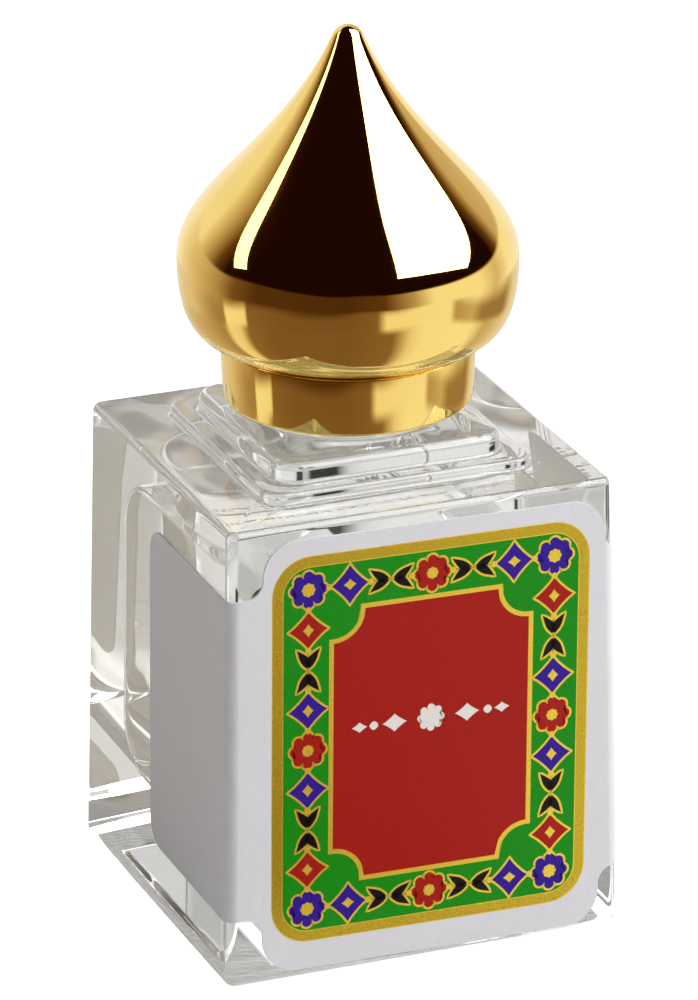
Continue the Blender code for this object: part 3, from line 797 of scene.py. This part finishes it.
def label_outline():
    """The die-cut sheet laid flat, x along the girth, from the lower corner of the right wing."""
    corners = []
    for x, z in QUARTERS:
        panel_x, panel_z = PANEL_MIDDLE.x + x * PANEL_WIDTH / 2, PANEL_MIDDLE.y + z * PANEL_HEIGHT / 2
        wing_x, wing_z = x * (BODY_WIDTH / 2 + WING_REACH), WING_MIDDLE_Z + z * WING_HEIGHT / 2
        turns = [(panel_x, panel_z, PANEL_CORNER_RADIUS), (panel_x, wing_z, WING_FILLET_RADIUS),
                 (wing_x, wing_z, WING_CORNER_RADIUS)]
        corners += turns if x * z < 0 else turns[::-1]
    return rounded_polygon(corners[2:] + corners[:2])


def wrap(point):
    """Takes a point of the flat sheet, with -y as its height off the glass, round the front edges."""
    z, height = point.z, -point.y
    radius = VERTICAL_EDGE_RADIUS
    flat, bend = half_width(z) - radius, radius * pi / 2
    along = abs(point.x)
    side = 1 if point.x > 0 else -1
    if along <= flat:
        return Vector((point.x, -half_depth(z) - height, z))
    if along <= flat + bend:
        turn = (along - flat) / radius
        return Vector((side * (flat + (radius + height) * sin(turn)),
                       radius - half_depth(z) - (radius + height) * cos(turn), z))
    return Vector((side * (half_width(z) + height), radius - half_depth(z) + along - flat - bend, z))


def cut_at_bends(bm):
    """Cuts the flat sheet along each line where the wrapped sheet changes direction."""
    lean_slope = 2 * WALL_LEAN / BODY_HEIGHT
    for side in (1, -1):
        for k in range(BEND_STEPS + 1):
            along = BODY_WIDTH / 2 - VERTICAL_EDGE_RADIUS * (1 - pi / 2 * k / BEND_STEPS)
            sheet = bm.verts[:] + bm.edges[:] + bm.faces[:]
            bmesh.ops.bisect_plane(bm, geom=sheet, dist=MERGE_DISTANCE, plane_no=(side, 0, lean_slope),
                                   plane_co=(side * along, 0, BODY_HEIGHT / 2))


def plates(outlines, low, high, bends=False):
    """Thin closed sheets, one for each flat outline, laid on the glass between two heights.

    A sheet that bends has the second material on its back.
    """
    bm = bmesh.new()
    for outline in outlines:
        bm.faces.new([bm.verts.new((point.x, -low, point.y)) for point in tilted(outline)])
    bmesh.ops.triangulate(bm, faces=bm.faces[:])
    if bends:
        cut_at_bends(bm)
    backs = bm.faces[:]
    sheet = bmesh.ops.extrude_face_region(bm, geom=backs, use_keep_orig=True)
    for back in backs:
        back.material_index = 1 if bends else 0
    outer = [item for item in sheet["geom"] if isinstance(item, bmesh.types.BMVert)]
    bmesh.ops.translate(bm, verts=outer, vec=(0, low - high, 0))
    for vertex in bm.verts:
        vertex.co = wrap(vertex.co)
    return bm


def make_label():
    papers = [paper_material("coated_paper", PAPER_COLOUR), paper_material("paper_back", PAPER_BACK_COLOUR)]
    bm = plates([label_outline()], -LABEL_EMBED, PAPER_FACE, bends=True)
    label = finished_object("label_sheet", bm, papers, sharp_degrees=35)
    weigh_normals(label)
    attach(label, "bottle")
    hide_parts("paper_label")


# The print: a generic border of rosettes, lozenges and leaves

def grown(points, distance):
    """An anticlockwise outline moved out along its normals."""
    moved = []
    for k, point in enumerate(points):
        before = (point - points[k - 1]).normalized()
        after = (points[(k + 1) % len(points)] - point).normalized()
        one, other = Vector((before.y, -before.x)), Vector((after.y, -after.x))
        moved.append(point + (one + other) * distance / max(1 + one.dot(other), MITRE_LIMIT))
    return moved


def frame_rectangle(inset):
    """The printed frame's outline, or one inside it."""
    half_x, half_z = FRAME_WIDTH / 2 - inset, FRAME_HEIGHT / 2 - inset
    radius = max(FRAME_CORNER_RADIUS - inset, LEAST_CORNER_RADIUS)
    return rounded_polygon([(FRAME_MIDDLE.x + x * half_x, FRAME_MIDDLE.y + z * half_z, radius)
                            for x, z in QUARTERS])


def cartouche():
    """The centre panel, a rectangle with a round scoop out of each corner."""
    outline = []
    for k, (x, z) in enumerate(QUARTERS):
        corner = FRAME_MIDDLE + Vector((x * CENTRE_WIDTH / 2, z * CENTRE_HEIGHT / 2))
        scoop = arc(corner, CENTRE_SCOOP, 180 + 90 * k, 90 + 90 * k, CORNER_STEPS)
        outline += [Vector(point) for point in scoop]
    return outline


def rosette(radius, petals=8, depth_share=0.34):
    steps = petals * PETAL_STEPS
    angles = [2 * pi * k / steps for k in range(steps)]
    reaches = [radius * (1 - depth_share + depth_share * sqrt(abs(cos(petals * a / 2)))) for a in angles]
    return [Vector((r * cos(a), r * sin(a))) for r, a in zip(reaches, angles)]


def lozenge(half_x, half_z, hollow=1.3):
    """A diamond with hollow sides."""
    turns = [2 * pi * k / LOZENGE_STEPS for k in range(LOZENGE_STEPS)]
    return [Vector((half_x * cos(a) * abs(cos(a)) ** hollow, half_z * sin(a) * abs(sin(a)) ** hollow))
            for a in turns]


def leaf(length, half_width, curl, belly=0.8):
    """A pointed leaf from its stalk at the origin, curling as it goes."""
    shares = [k / LEAF_STEPS for k in range(LEAF_STEPS + 1)]
    sides = [[Vector((length * s, side * half_width * sin(pi * s ** belly) + curl * s * s)) for s in shares]
             for side in (-1, 1)]
    return sides[0] + sides[1][-2:0:-1]


def placed(outline, place, turn=0.0, mirror=False):
    """A motif moved to its place in the frame, turned and perhaps mirrored."""
    if mirror:
        outline = [Vector((point.x, -point.y)) for point in outline[::-1]]
    rotation = Matrix.Rotation(turn, 2)
    return [FRAME_MIDDLE + Vector(place) + rotation @ point for point in outline]


def leaf_pairs(place, turn):
    """Two leaves each way along the border, parting from their stalks."""
    one = [point + LEAF_STALK for point in leaf(*LEAF)]
    return [placed(one, place, turn + back, mirror) for mirror in (False, True) for back in (0, pi)]


def border_places():
    """Places round the border: the point, its side's turn, its number, their count and half the step."""
    places = []
    for turn, half_length, reach, count in ((0, BORDER_X, BORDER_Z, BORDER_COUNT_X),
                                            (pi / 2, BORDER_Z, BORDER_X, BORDER_COUNT_Z)):
        for side in (1, -1):
            for k in range(1, count):
                along = half_length * (2 * k / count - 1)
                place = (side * reach, along) if turn else (along, side * reach)
                places.append((place, turn, k, count, half_length / count))
    return places


def motifs():
    """Outlines of the ornaments by ink, each rosette and lozenge with a gold heart."""
    found = {"red": [], "violet": [], "black": [], "gold": []}

    def add(ink, place, turn, outline, heart):
        found[ink].append(placed(outline, place, turn))
        found["gold"].append(placed(heart, place, turn))

    for x, z in QUARTERS:
        add("violet", (x * BORDER_X, z * BORDER_Z), 0, rosette(CORNER_ROSETTE),
            rosette(CORNER_HEART, depth_share=0.2))
    for place, turn, k, count, half_step in border_places():
        if k == count // 2:
            add("red", place, 0, rosette(SIDE_ROSETTE), rosette(SIDE_HEART, depth_share=0.2))
        elif k % 2 == 1:
            ink = "violet" if count == BORDER_COUNT_X or abs(k - count // 2) == 1 else "red"
            add(ink, place, turn, lozenge(*LOZENGE), lozenge(*LOZENGE_HEART))
        else:
            found["black"] += leaf_pairs(place, turn)
        for side in (-1, 1) if k == 1 else (1,):
            dot = Vector(place) + Vector((cos(turn), sin(turn))) * side * half_step
            found["gold"].append(placed(rosette(DOT_RADIUS, petals=4, depth_share=0.05), dot))
    return found


def centre_ornament():
    """A small pale row in the middle of the red panel."""
    row = [placed(rosette(ROW_ROSETTE), (0, ROW_Z))]
    for side in (-1, 1):
        row.append(placed(rosette(ROW_DOT, petals=4, depth_share=0.1), (side * ROW_DOT_X, ROW_Z)))
        for half_x, half_z, x in ROW_LOZENGES:
            row.append(placed(lozenge(half_x, half_z), (side * x, ROW_Z)))
    return row


def add_print(name, outlines, layer, material):
    """One printed colour, as its own layer of ink on the ones below it."""
    bm = plates(outlines, PAPER_FACE - INK_STEP, PAPER_FACE + INK_STEP * layer)
    printed = finished_object(name, bm, [material], sharp_degrees=35)
    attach(printed, "bottle")


def make_print():
    foil = foil_material("gold_foil", FOIL_SHADES)
    line_foil = foil_material("gold_line_foil", FOIL_LINE_SHADES)
    found = motifs()
    rims = [grown(outline, GOLD_OUTLINE) for outline in found["red"] + found["violet"] + found["black"]]
    add_print("print_frame_rim", [frame_rectangle(0)], 1, line_foil)
    add_print("print_gold_frame", [frame_rectangle(FRAME_EDGE)], 2, foil)
    add_print("print_field_rim", [frame_rectangle(FRAME_BAND - FRAME_EDGE)], 3, line_foil)
    add_print("print_green_field", [frame_rectangle(FRAME_BAND)], 4, ink_material("green_ink", GREEN_INK))
    add_print("print_gold_outlines", rims + [grown(cartouche(), GOLD_LINE)], 5, line_foil)
    add_print("print_red", found["red"] + [cartouche()], 6, ink_material("red_ink", RED_INK))
    add_print("print_violet", found["violet"], 6, ink_material("violet_ink", VIOLET_INK))
    add_print("print_black", found["black"], 6, ink_material("black_ink", BLACK_INK))
    add_print("print_gold_points", found["gold"], 7, line_foil)
    add_print("print_pale_row", centre_ornament(), 7, ink_material("pale_ink", PALE_INK, shade=0.95))


# Roll-on fitment

def plug_side():
    """Down the outside of the plug over its sealing ribs, each sharp above and sloped below."""
    z = RIM_Z + SEAT_GAP
    points = [(PLUG_RADIUS, z)]
    for k in range(RIB_COUNT):
        z -= RIB_PITCH
        points += [(PLUG_RADIUS + RIB_HEIGHT * out, z - RIB_HEIGHT * down) for out, down in RIB_SHARES]
        points.append((PLUG_RADIUS, z - RIB_PITCH / 2))
    return points


def housing_profile():
    """Over the lip, down the flange and the plug, up inside it and round the ball's socket."""
    socket_low = -degrees(acos(FEED_HOLE_RADIUS / SOCKET_RADIUS))
    socket_high = degrees(asin((LIP_Z - BALL_Z) / SOCKET_RADIUS))
    socket = arc((0, BALL_Z), SOCKET_RADIUS, socket_low, socket_high, 4 * QUARTER_STEPS)
    flange_radius, skirt_radius = NECK_RADIUS - FLANGE_SETBACK, PLUG_RADIUS - PLUG_SKIRT_WALL
    plug_end, web_z = RIM_Z - PLUG_LENGTH, BALL_Z - SOCKET_RADIUS - WEB_THICKNESS
    chamfer = FLANGE_CHAMFER
    lip = rounding((socket[-1][0] + LIP_WIDTH, LIP_Z), chamfer, 90, 20)
    foot = rounding((HEAD_RADIUS, FLANGE_TOP), chamfer, 190, 270)
    rim = rounding((flange_radius, FLANGE_TOP), chamfer, 90, 0) + [(flange_radius, RIM_Z + SEAT_GAP)]
    bottom = [(PLUG_RADIUS, plug_end + PLUG_LEAD_IN), (skirt_radius + chamfer, plug_end),
              (skirt_radius, plug_end)]
    inside = [(skirt_radius, web_z - chamfer), (skirt_radius - chamfer, web_z), (FEED_HOLE_RADIUS, web_z)]
    return lip + foot + rim + plug_side() + bottom + inside + socket


def make_fitment():
    plastic = plastic_material("polyethylene", FITMENT_PLASTIC, roughness=0.38, subsurface=0.15)
    bm = lathe(housing_profile(), SMALL_TURN_STEPS, closed=True)
    housing = finished_object("roll_on_fitment", bm, [plastic], sharp_degrees=28)
    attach(housing, "bottle")
    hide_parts("roll_on_housing")


def make_ball():
    profile = arc((0, BALL_Z), BALL_RADIUS, 90, -90, 8 * QUARTER_STEPS)
    ball = finished_object("steel_roller", lathe(profile, SMALL_TURN_STEPS), [steel_material()])
    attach(ball, "ball")
    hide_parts("roller_ball")


# Cap

def insert_rise(angle, r, z):
    """The thread stands in from the skirt's bore only, half a pitch off the neck's."""
    if abs(r - THREAD_BORE) >= MERGE_DISTANCE or z >= FLANGE_TOP:
        return 0.0
    start = PLINTH_TOP + NECK_THREAD_START + THREAD_PITCH / 2
    return -thread_rise(angle, z, start, CAP_THREAD_TURNS)


def insert_profile():
    bore, head_room = THREAD_BORE, HEAD_RADIUS + INSERT_GAP
    chamber, wall = BALL_RADIUS + INSERT_GAP, INSERT_WALL
    bottom_z, step_z = COLLAR_BOTTOM + INSERT_SETBACK, FLANGE_TOP + INSERT_GAP
    cone_z = LIP_Z + head_room - chamber
    outside = [(0, INSERT_TOP), (chamber, INSERT_TOP), (chamber + wall, INSERT_TOP - wall),
               (chamber + wall, cone_z + wall / 2), (head_room + wall, LIP_Z + wall / 2),
               (head_room + wall, step_z + wall), (bore, step_z + wall), (bore + wall, step_z),
               (bore + wall, bottom_z)]
    cuts = round((step_z - bottom_z) * THREAD_STEPS / THREAD_HALF_WIDTH)
    skirt = [(bore, bottom_z + (step_z - bottom_z) * k / cuts) for k in range(cuts + 1)]
    inside = [(head_room, step_z), (head_room, LIP_Z), (chamber, cone_z), (chamber, ROOF_Z), (0, ROOF_Z)]
    return outside + skirt + inside


def make_insert():
    plastic = plastic_material("inner_cap_plastic_satin", CAP_PLASTIC, roughness=0.45, subsurface=0.05)
    bm = lathe(insert_profile(), SMALL_TURN_STEPS, insert_rise)
    insert = finished_object("inner_cap", bm, [plastic], sharp_degrees=50)
    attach(insert, "cap")
    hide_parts("cap_insert")


def make_seal():
    radius, top = BALL_RADIUS + INSERT_GAP - SEAL_SIDE_GAP, SEAL_Z + SEAL_THICKNESS
    side = rounding((radius, top), SEAL_ROUND, 90, 0, SEAL_STEPS)
    side += rounding((radius, SEAL_Z), SEAL_ROUND, 0, -90, SEAL_STEPS)
    bm = lathe([(0, top)] + side + [(0, SEAL_Z)], SMALL_TURN_STEPS)
    seal = finished_object("sealing_disc", bm, [foam_material()], sharp_degrees=50)
    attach(seal, "seal")
    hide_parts("cap_seal")


def dome_curve():
    """From the nose down the ogee flank, round the widest ring and in to the foot."""
    foot = (COLLAR_RADIUS + DOME_FOOT_OVERHANG, COLLAR_BOTTOM + COLLAR_HEIGHT + GROOVE_WIDTH)
    equator = (COLLAR_RADIUS + DOME_OVERHANG, foot[1] + EQUATOR_RISE)
    shoulder = (NOSE_RADIUS * cos(FLANK_ANGLE), NOSE_Z + NOSE_RADIUS * sin(FLANK_ANGLE))
    below = (shoulder[0] + FLANK_DROP * sin(FLANK_ANGLE), shoulder[1] - FLANK_DROP * cos(FLANK_ANGLE))
    flank = bezier(shoulder, below, (equator[0], equator[1] + FLANK_RISE), equator, FLANK_STEPS)
    tuck = (foot[0] + UNDERCUT_REACH, foot[1] + UNDERCUT_TURN)
    undercut = bezier(equator, (equator[0], equator[1] - UNDERCUT_DROP), tuck, foot, FLANK_STEPS // 2)
    return flank + undercut[1:]


def collar_curve():
    """The groove under the dome, the collar's rounded lip and its sides, down to the lower edge."""
    top_z, reach = COLLAR_BOTTOM + COLLAR_HEIGHT, COLLAR_RADIUS + COLLAR_FLARE
    inner = reach - GROOVE_DEPTH
    groove = [(inner, top_z + GROOVE_WIDTH * GROOVE_CREST_SHARE), (inner, top_z)]
    lip = rounding((reach, top_z), COLLAR_LIP_RADIUS, 90, 0, COLLAR_LIP_STEPS)
    return groove + lip + rounding((COLLAR_RADIUS, COLLAR_BOTTOM), COLLAR_EDGE_RADIUS, 0, -90)


def hollow_curve():
    """Up the collar's bore, over the shelf at the dome's foot and up the hollow to its roof."""
    curve = dome_curve()
    beside = []
    for k, (r, z) in enumerate(curve):
        before, after = curve[max(k - 1, 0)], curve[min(k + 1, len(curve) - 1)]
        along = Vector((after[0] - before[0], after[1] - before[1])).normalized()
        beside.append((r + along.y * DOME_WALL, z - along.x * DOME_WALL))
    hollow = [point for point in beside if point[0] > DOME_WALL]
    shelf_z = hollow[-1][1]
    bore = [(COLLAR_BORE, COLLAR_BOTTOM), (COLLAR_BORE, shelf_z)]
    return bore + hollow[::-1] + [(0, hollow[0][1])]


def make_shell():
    nose = arc((0, NOSE_Z), NOSE_RADIUS, 90, degrees(FLANK_ANGLE))[:-1]
    bm = lathe(nose + dome_curve() + collar_curve() + hollow_curve(), TURN_STEPS)
    shell = finished_object("gold_dome_cap", bm, [gold_material()], sharp_degrees=35)
    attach(shell, "cap")
    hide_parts("cap_shell")


# Stage, lights and camera

def bearing(azimuth):
    """Level direction at an angle from the camera's side, positive to the camera's right."""
    towards = Vector((sin(CAMERA_AZIMUTH), -cos(CAMERA_AZIMUTH), 0))
    right = Vector((cos(CAMERA_AZIMUTH), sin(CAMERA_AZIMUTH), 0))
    return towards * cos(azimuth) + right * sin(azimuth)


def warm(tree, brightness, powers):
    """A painted brightness that turns gold as it darkens."""
    green, blue = [arithmetic(tree, "POWER", brightness, power) for power in powers]
    parts = {"Red": brightness, "Green": green, "Blue": blue}
    return add_node(tree, "CombineColor", parts).outputs["Color"]


def ramp_by_bearing(tree, share, stops):
    ramp = add_node(tree, "ValToRGB", {"Fac": share})
    elements = ramp.color_ramp.elements
    elements.remove(elements[0])
    for k, (angle, brightness) in enumerate(stops):
        place = (angle + 180) / 360
        element = elements[0] if k == 0 else elements.new(place)
        element.position = place
        element.color = (brightness, brightness, brightness, 1.0)
    return ramp.outputs["Color"]


def dot_product(tree, vector, axis):
    parts = {0: vector, 1: axis}
    return add_node(tree, "VectorMath", parts, operation="DOT_PRODUCT").outputs["Value"]


def painted_studio_by_direction(tree, direction, studio, wave=0.0):
    """Layers of painted brightness by bearing, each above the last, with edges that wave by up to an angle.
    """
    unit = add_node(tree, "VectorMath", {0: direction}, operation="NORMALIZE").outputs["Vector"]
    right, near = dot_product(tree, unit, bearing(pi / 2)), dot_product(tree, unit, bearing(0))
    azimuth = arithmetic(tree, "ARCTAN2", right, near)
    share = arithmetic(tree, "MULTIPLY_ADD", azimuth, 1 / (2 * pi), 0.5)
    elevation = arithmetic(tree, "ARCSINE", dot_product(tree, unit, UP))
    if wave:
        swell = {"Vector": unit, "Scale": 1 / MIRROR_WAVE_SIZE, "Detail": 0.0}
        shift = add_node(tree, "TexNoise", swell).outputs["Fac"]
        shift = arithmetic(tree, "SUBTRACT", shift, 0.5)
        elevation = arithmetic(tree, "MULTIPLY_ADD", shift, 2 * wave, elevation)
    seen = 0.0
    for start, end, stops in studio:
        layer = ramp_by_bearing(tree, share, stops)
        seen = mix_values(tree, step_up(tree, elevation, radians(start), radians(end)), seen, layer)
    return seen


def painted_studio_colours(tree, direction):
    """The painted studio as the gold mirrors it, then as the glass lets it through: painted reflections and
    a painted backdrop.
    """
    mirrored = warm(tree, painted_studio_by_direction(tree, direction, PAINTED_MIRROR_STUDIO, MIRROR_WAVE), PAINTED_MIRROR_WARMTH)
    return mirrored, warm(tree, painted_studio_by_direction(tree, direction, PAINTED_GLASS_STUDIO), PAINTED_GLASS_WARMTH)


def make_world():
    """White to the camera, a painted studio of bright and dark bands to mirrors and glass, and a soft light
    on everything.
    """
    world = bpy.data.worlds.new("studio")
    world.use_nodes = True
    tree = world.node_tree
    path = add_node(tree, "LightPath").outputs
    mirrored, through = painted_studio_colours(tree, add_node(tree, "TexCoord").outputs["Generated"])
    colour = (WORLD_DIFFUSE, WORLD_DIFFUSE, WORLD_DIFFUSE, 1.0)
    for ray, seen in (("Glossy", mirrored), ("Transmission", through), ("Camera", WHITE)):
        colour = mix_colours(tree, path[f"Is {ray} Ray"], colour, seen)
    tree.links.new(colour, tree.nodes["Background"].inputs["Color"])
    bpy.context.scene.world = world


def floor_material():
    """Pale and matt, white towards its border, with a painted glow that only rays through the glass see:
    painted pools of light, a bright ring under the bottle's edge and gold glints, in place of the light
    that the glass gathers under it.
    """
    material = new_material("studio_floor", FLOOR_COLOUR, roughness=0.9, Specular_IOR_Level=0.0)
    tree = material.node_tree
    shader = tree.nodes["Principled BSDF"]
    path = add_node(tree, "LightPath").outputs
    by_camera, by_glass = path["Is Camera Ray"], path["Is Transmission Ray"]
    place = add_node(tree, "TexCoord").outputs["Object"]
    distance = add_node(tree, "VectorMath", {0: place}, operation="LENGTH").outputs["Value"]
    # Through the glass only, the floor gets a painted glow: a bright ring under the bottle's edge, painted
    # pools of light inside it and a faint glow beyond
    border = step_up(tree, distance, *BORDER_RANGE)
    # Painted gold glints inside the ring, seen only through the glass
    painted_glints = step_up(tree, noise(material, PAINTED_GLINT_SIZE, detail=1.0), *PAINTED_GLINT_EDGES)
    painted_glints = mix_colours(tree, arithmetic(tree, "MULTIPLY", painted_glints, by_glass), WHITE, PAINTED_GLINT_COLOUR)
    tree.links.new(mix_colours(tree, border, painted_glints, WHITE), shader.inputs["Emission Color"])
    painted_pools = step_up(tree, noise(material, PAINTED_POOL_SIZE, detail=1.0), *PAINTED_POOL_EDGES)
    painted_glow_in_glass = mix_values(tree, border, mix_values(tree, painted_pools, *PAINTED_POOL_GLOWS), PAINTED_RING_GLOW)
    painted_glow_in_glass = mix_values(tree, step_up(tree, distance, *BEYOND_RANGE), painted_glow_in_glass, PAINTED_GLOW_BEYOND)
    lift = mix_values(tree, by_glass, mix_values(tree, by_camera, 0.0, FLOOR_LIFT), painted_glow_in_glass)
    tree.links.new(lift, shader.inputs["Emission Strength"])
    tree.links.new(mix_colours(tree, by_glass, FLOOR_COLOUR, FLOOR_IN_GLASS), shader.inputs["Base Color"])
    far = {"Value": distance, "From Min": FLOOR_FADE[0], "From Max": FLOOR_FADE[1]}
    fade = add_node(tree, "MapRange", far).outputs["Result"]
    white = add_node(tree, "Emission", {"Color": WHITE, "Strength": 1.0}).outputs["Emission"]
    mixed = add_node(tree, "MixShader", {0: fade, 1: shader.outputs["BSDF"], 2: white})
    tree.links.new(mixed.outputs["Shader"], tree.nodes["Material Output"].inputs["Surface"])
    return material


def make_floor():
    bm = bmesh.new()
    bmesh.ops.create_circle(bm, cap_ends=True, segments=STAGE_STEPS, radius=FLOOR_RADIUS)
    finished_object("floor", bm, [floor_material()])


def make_painted_reflection_mat():
    """A glowing mat that paints the table's reflection in gold and glass, with painted bright and dark
    bands by direction. Only they see it, and it starts clear of the bottle.
    """
    material = new_material("painted_table_reflection", WHITE, roughness=1.0)
    tree = material.node_tree
    from_centre = {0: add_node(tree, "TexCoord").outputs["Object"], 1: (0, 0, MIRROR_CENTRE_Z)}
    direction = add_node(tree, "VectorMath", from_centre, operation="SUBTRACT").outputs["Vector"]
    by_glass = add_node(tree, "LightPath").outputs["Is Transmission Ray"]
    colour = mix_colours(tree, by_glass, *painted_studio_colours(tree, direction))
    glow = add_node(tree, "Emission", {"Color": colour, "Strength": 1.0}).outputs["Emission"]
    tree.links.new(glow, tree.nodes["Material Output"].inputs["Surface"])
    bm = lathe([(MAT_INNER_RADIUS, MAT_HEIGHT), (MAT_OUTER_RADIUS, MAT_HEIGHT)], STAGE_STEPS)
    mat = finished_object("painted_reflection_mat", bm, [material])
    mat.visible_camera = mat.visible_diffuse = mat.visible_shadow = False


def add_lamp(name, azimuth, ends, height, lean, length, radiance, colour):
    """A softbox whose lower edge is level and square to a bearing, and that leans over the bottle."""
    away, across = bearing(azimuth), bearing(azimuth + pi / 2)
    along = UP * sin(lean) - away * cos(lean)
    edge = away + across * (ends[0] + ends[1]) / 2 + UP * height
    centre = (edge + along * length / 2) * LAMP_REACH + UP * LAMP_CENTRE_Z
    light = bpy.data.lights.new(name, "AREA")
    light.shape = "RECTANGLE"
    light.size = (ends[1] - ends[0]) * LAMP_REACH
    light.size_y = length * LAMP_REACH
    light.energy = radiance * pi * light.size * light.size_y
    light.color = colour
    turn = Matrix((across, along, across.cross(along))).transposed()
    lamp = bpy.data.objects.new(name, light)
    lamp.matrix_world = Matrix.Translation(centre) @ turn.to_4x4()
    lamp.visible_camera = False
    bpy.context.scene.collection.objects.link(lamp)


def make_camera():
    back = bearing(0) * cos(CAMERA_ELEVATION) + UP * sin(CAMERA_ELEVATION)
    target = UP * CAMERA_TARGET_Z + bearing(pi / 2) * CAMERA_TARGET_SIDE
    data = bpy.data.cameras.new("camera")
    data.lens = CAMERA_LENS
    data.sensor_width = CAMERA_SENSOR
    data.clip_start, data.clip_end = CAMERA_CLIP
    camera = bpy.data.objects.new("camera", data)
    camera.location = target + back * CAMERA_DISTANCE
    camera.rotation_mode = "QUATERNION"
    camera.rotation_quaternion = (-back).to_track_quat("-Z", "Y")
    bpy.context.scene.collection.objects.link(camera)
    bpy.context.scene.camera = camera


def set_light_paths():
    """Clear glass, oil and mirror gold need many bounces."""
    cycles = bpy.context.scene.cycles
    cycles.max_bounces = cycles.transmission_bounces = cycles.glossy_bounces = BOUNCES


bpy.context.scene.view_settings.view_transform = "Standard"
set_light_paths()
make_camera()
make_world()
make_floor()
make_painted_reflection_mat()
for lamp in LAMPS:
    add_lamp(*lamp)
make_glass()
make_oil()
make_label()
make_print()
make_fitment()
make_ball()
make_insert()
make_seal()
make_shell()
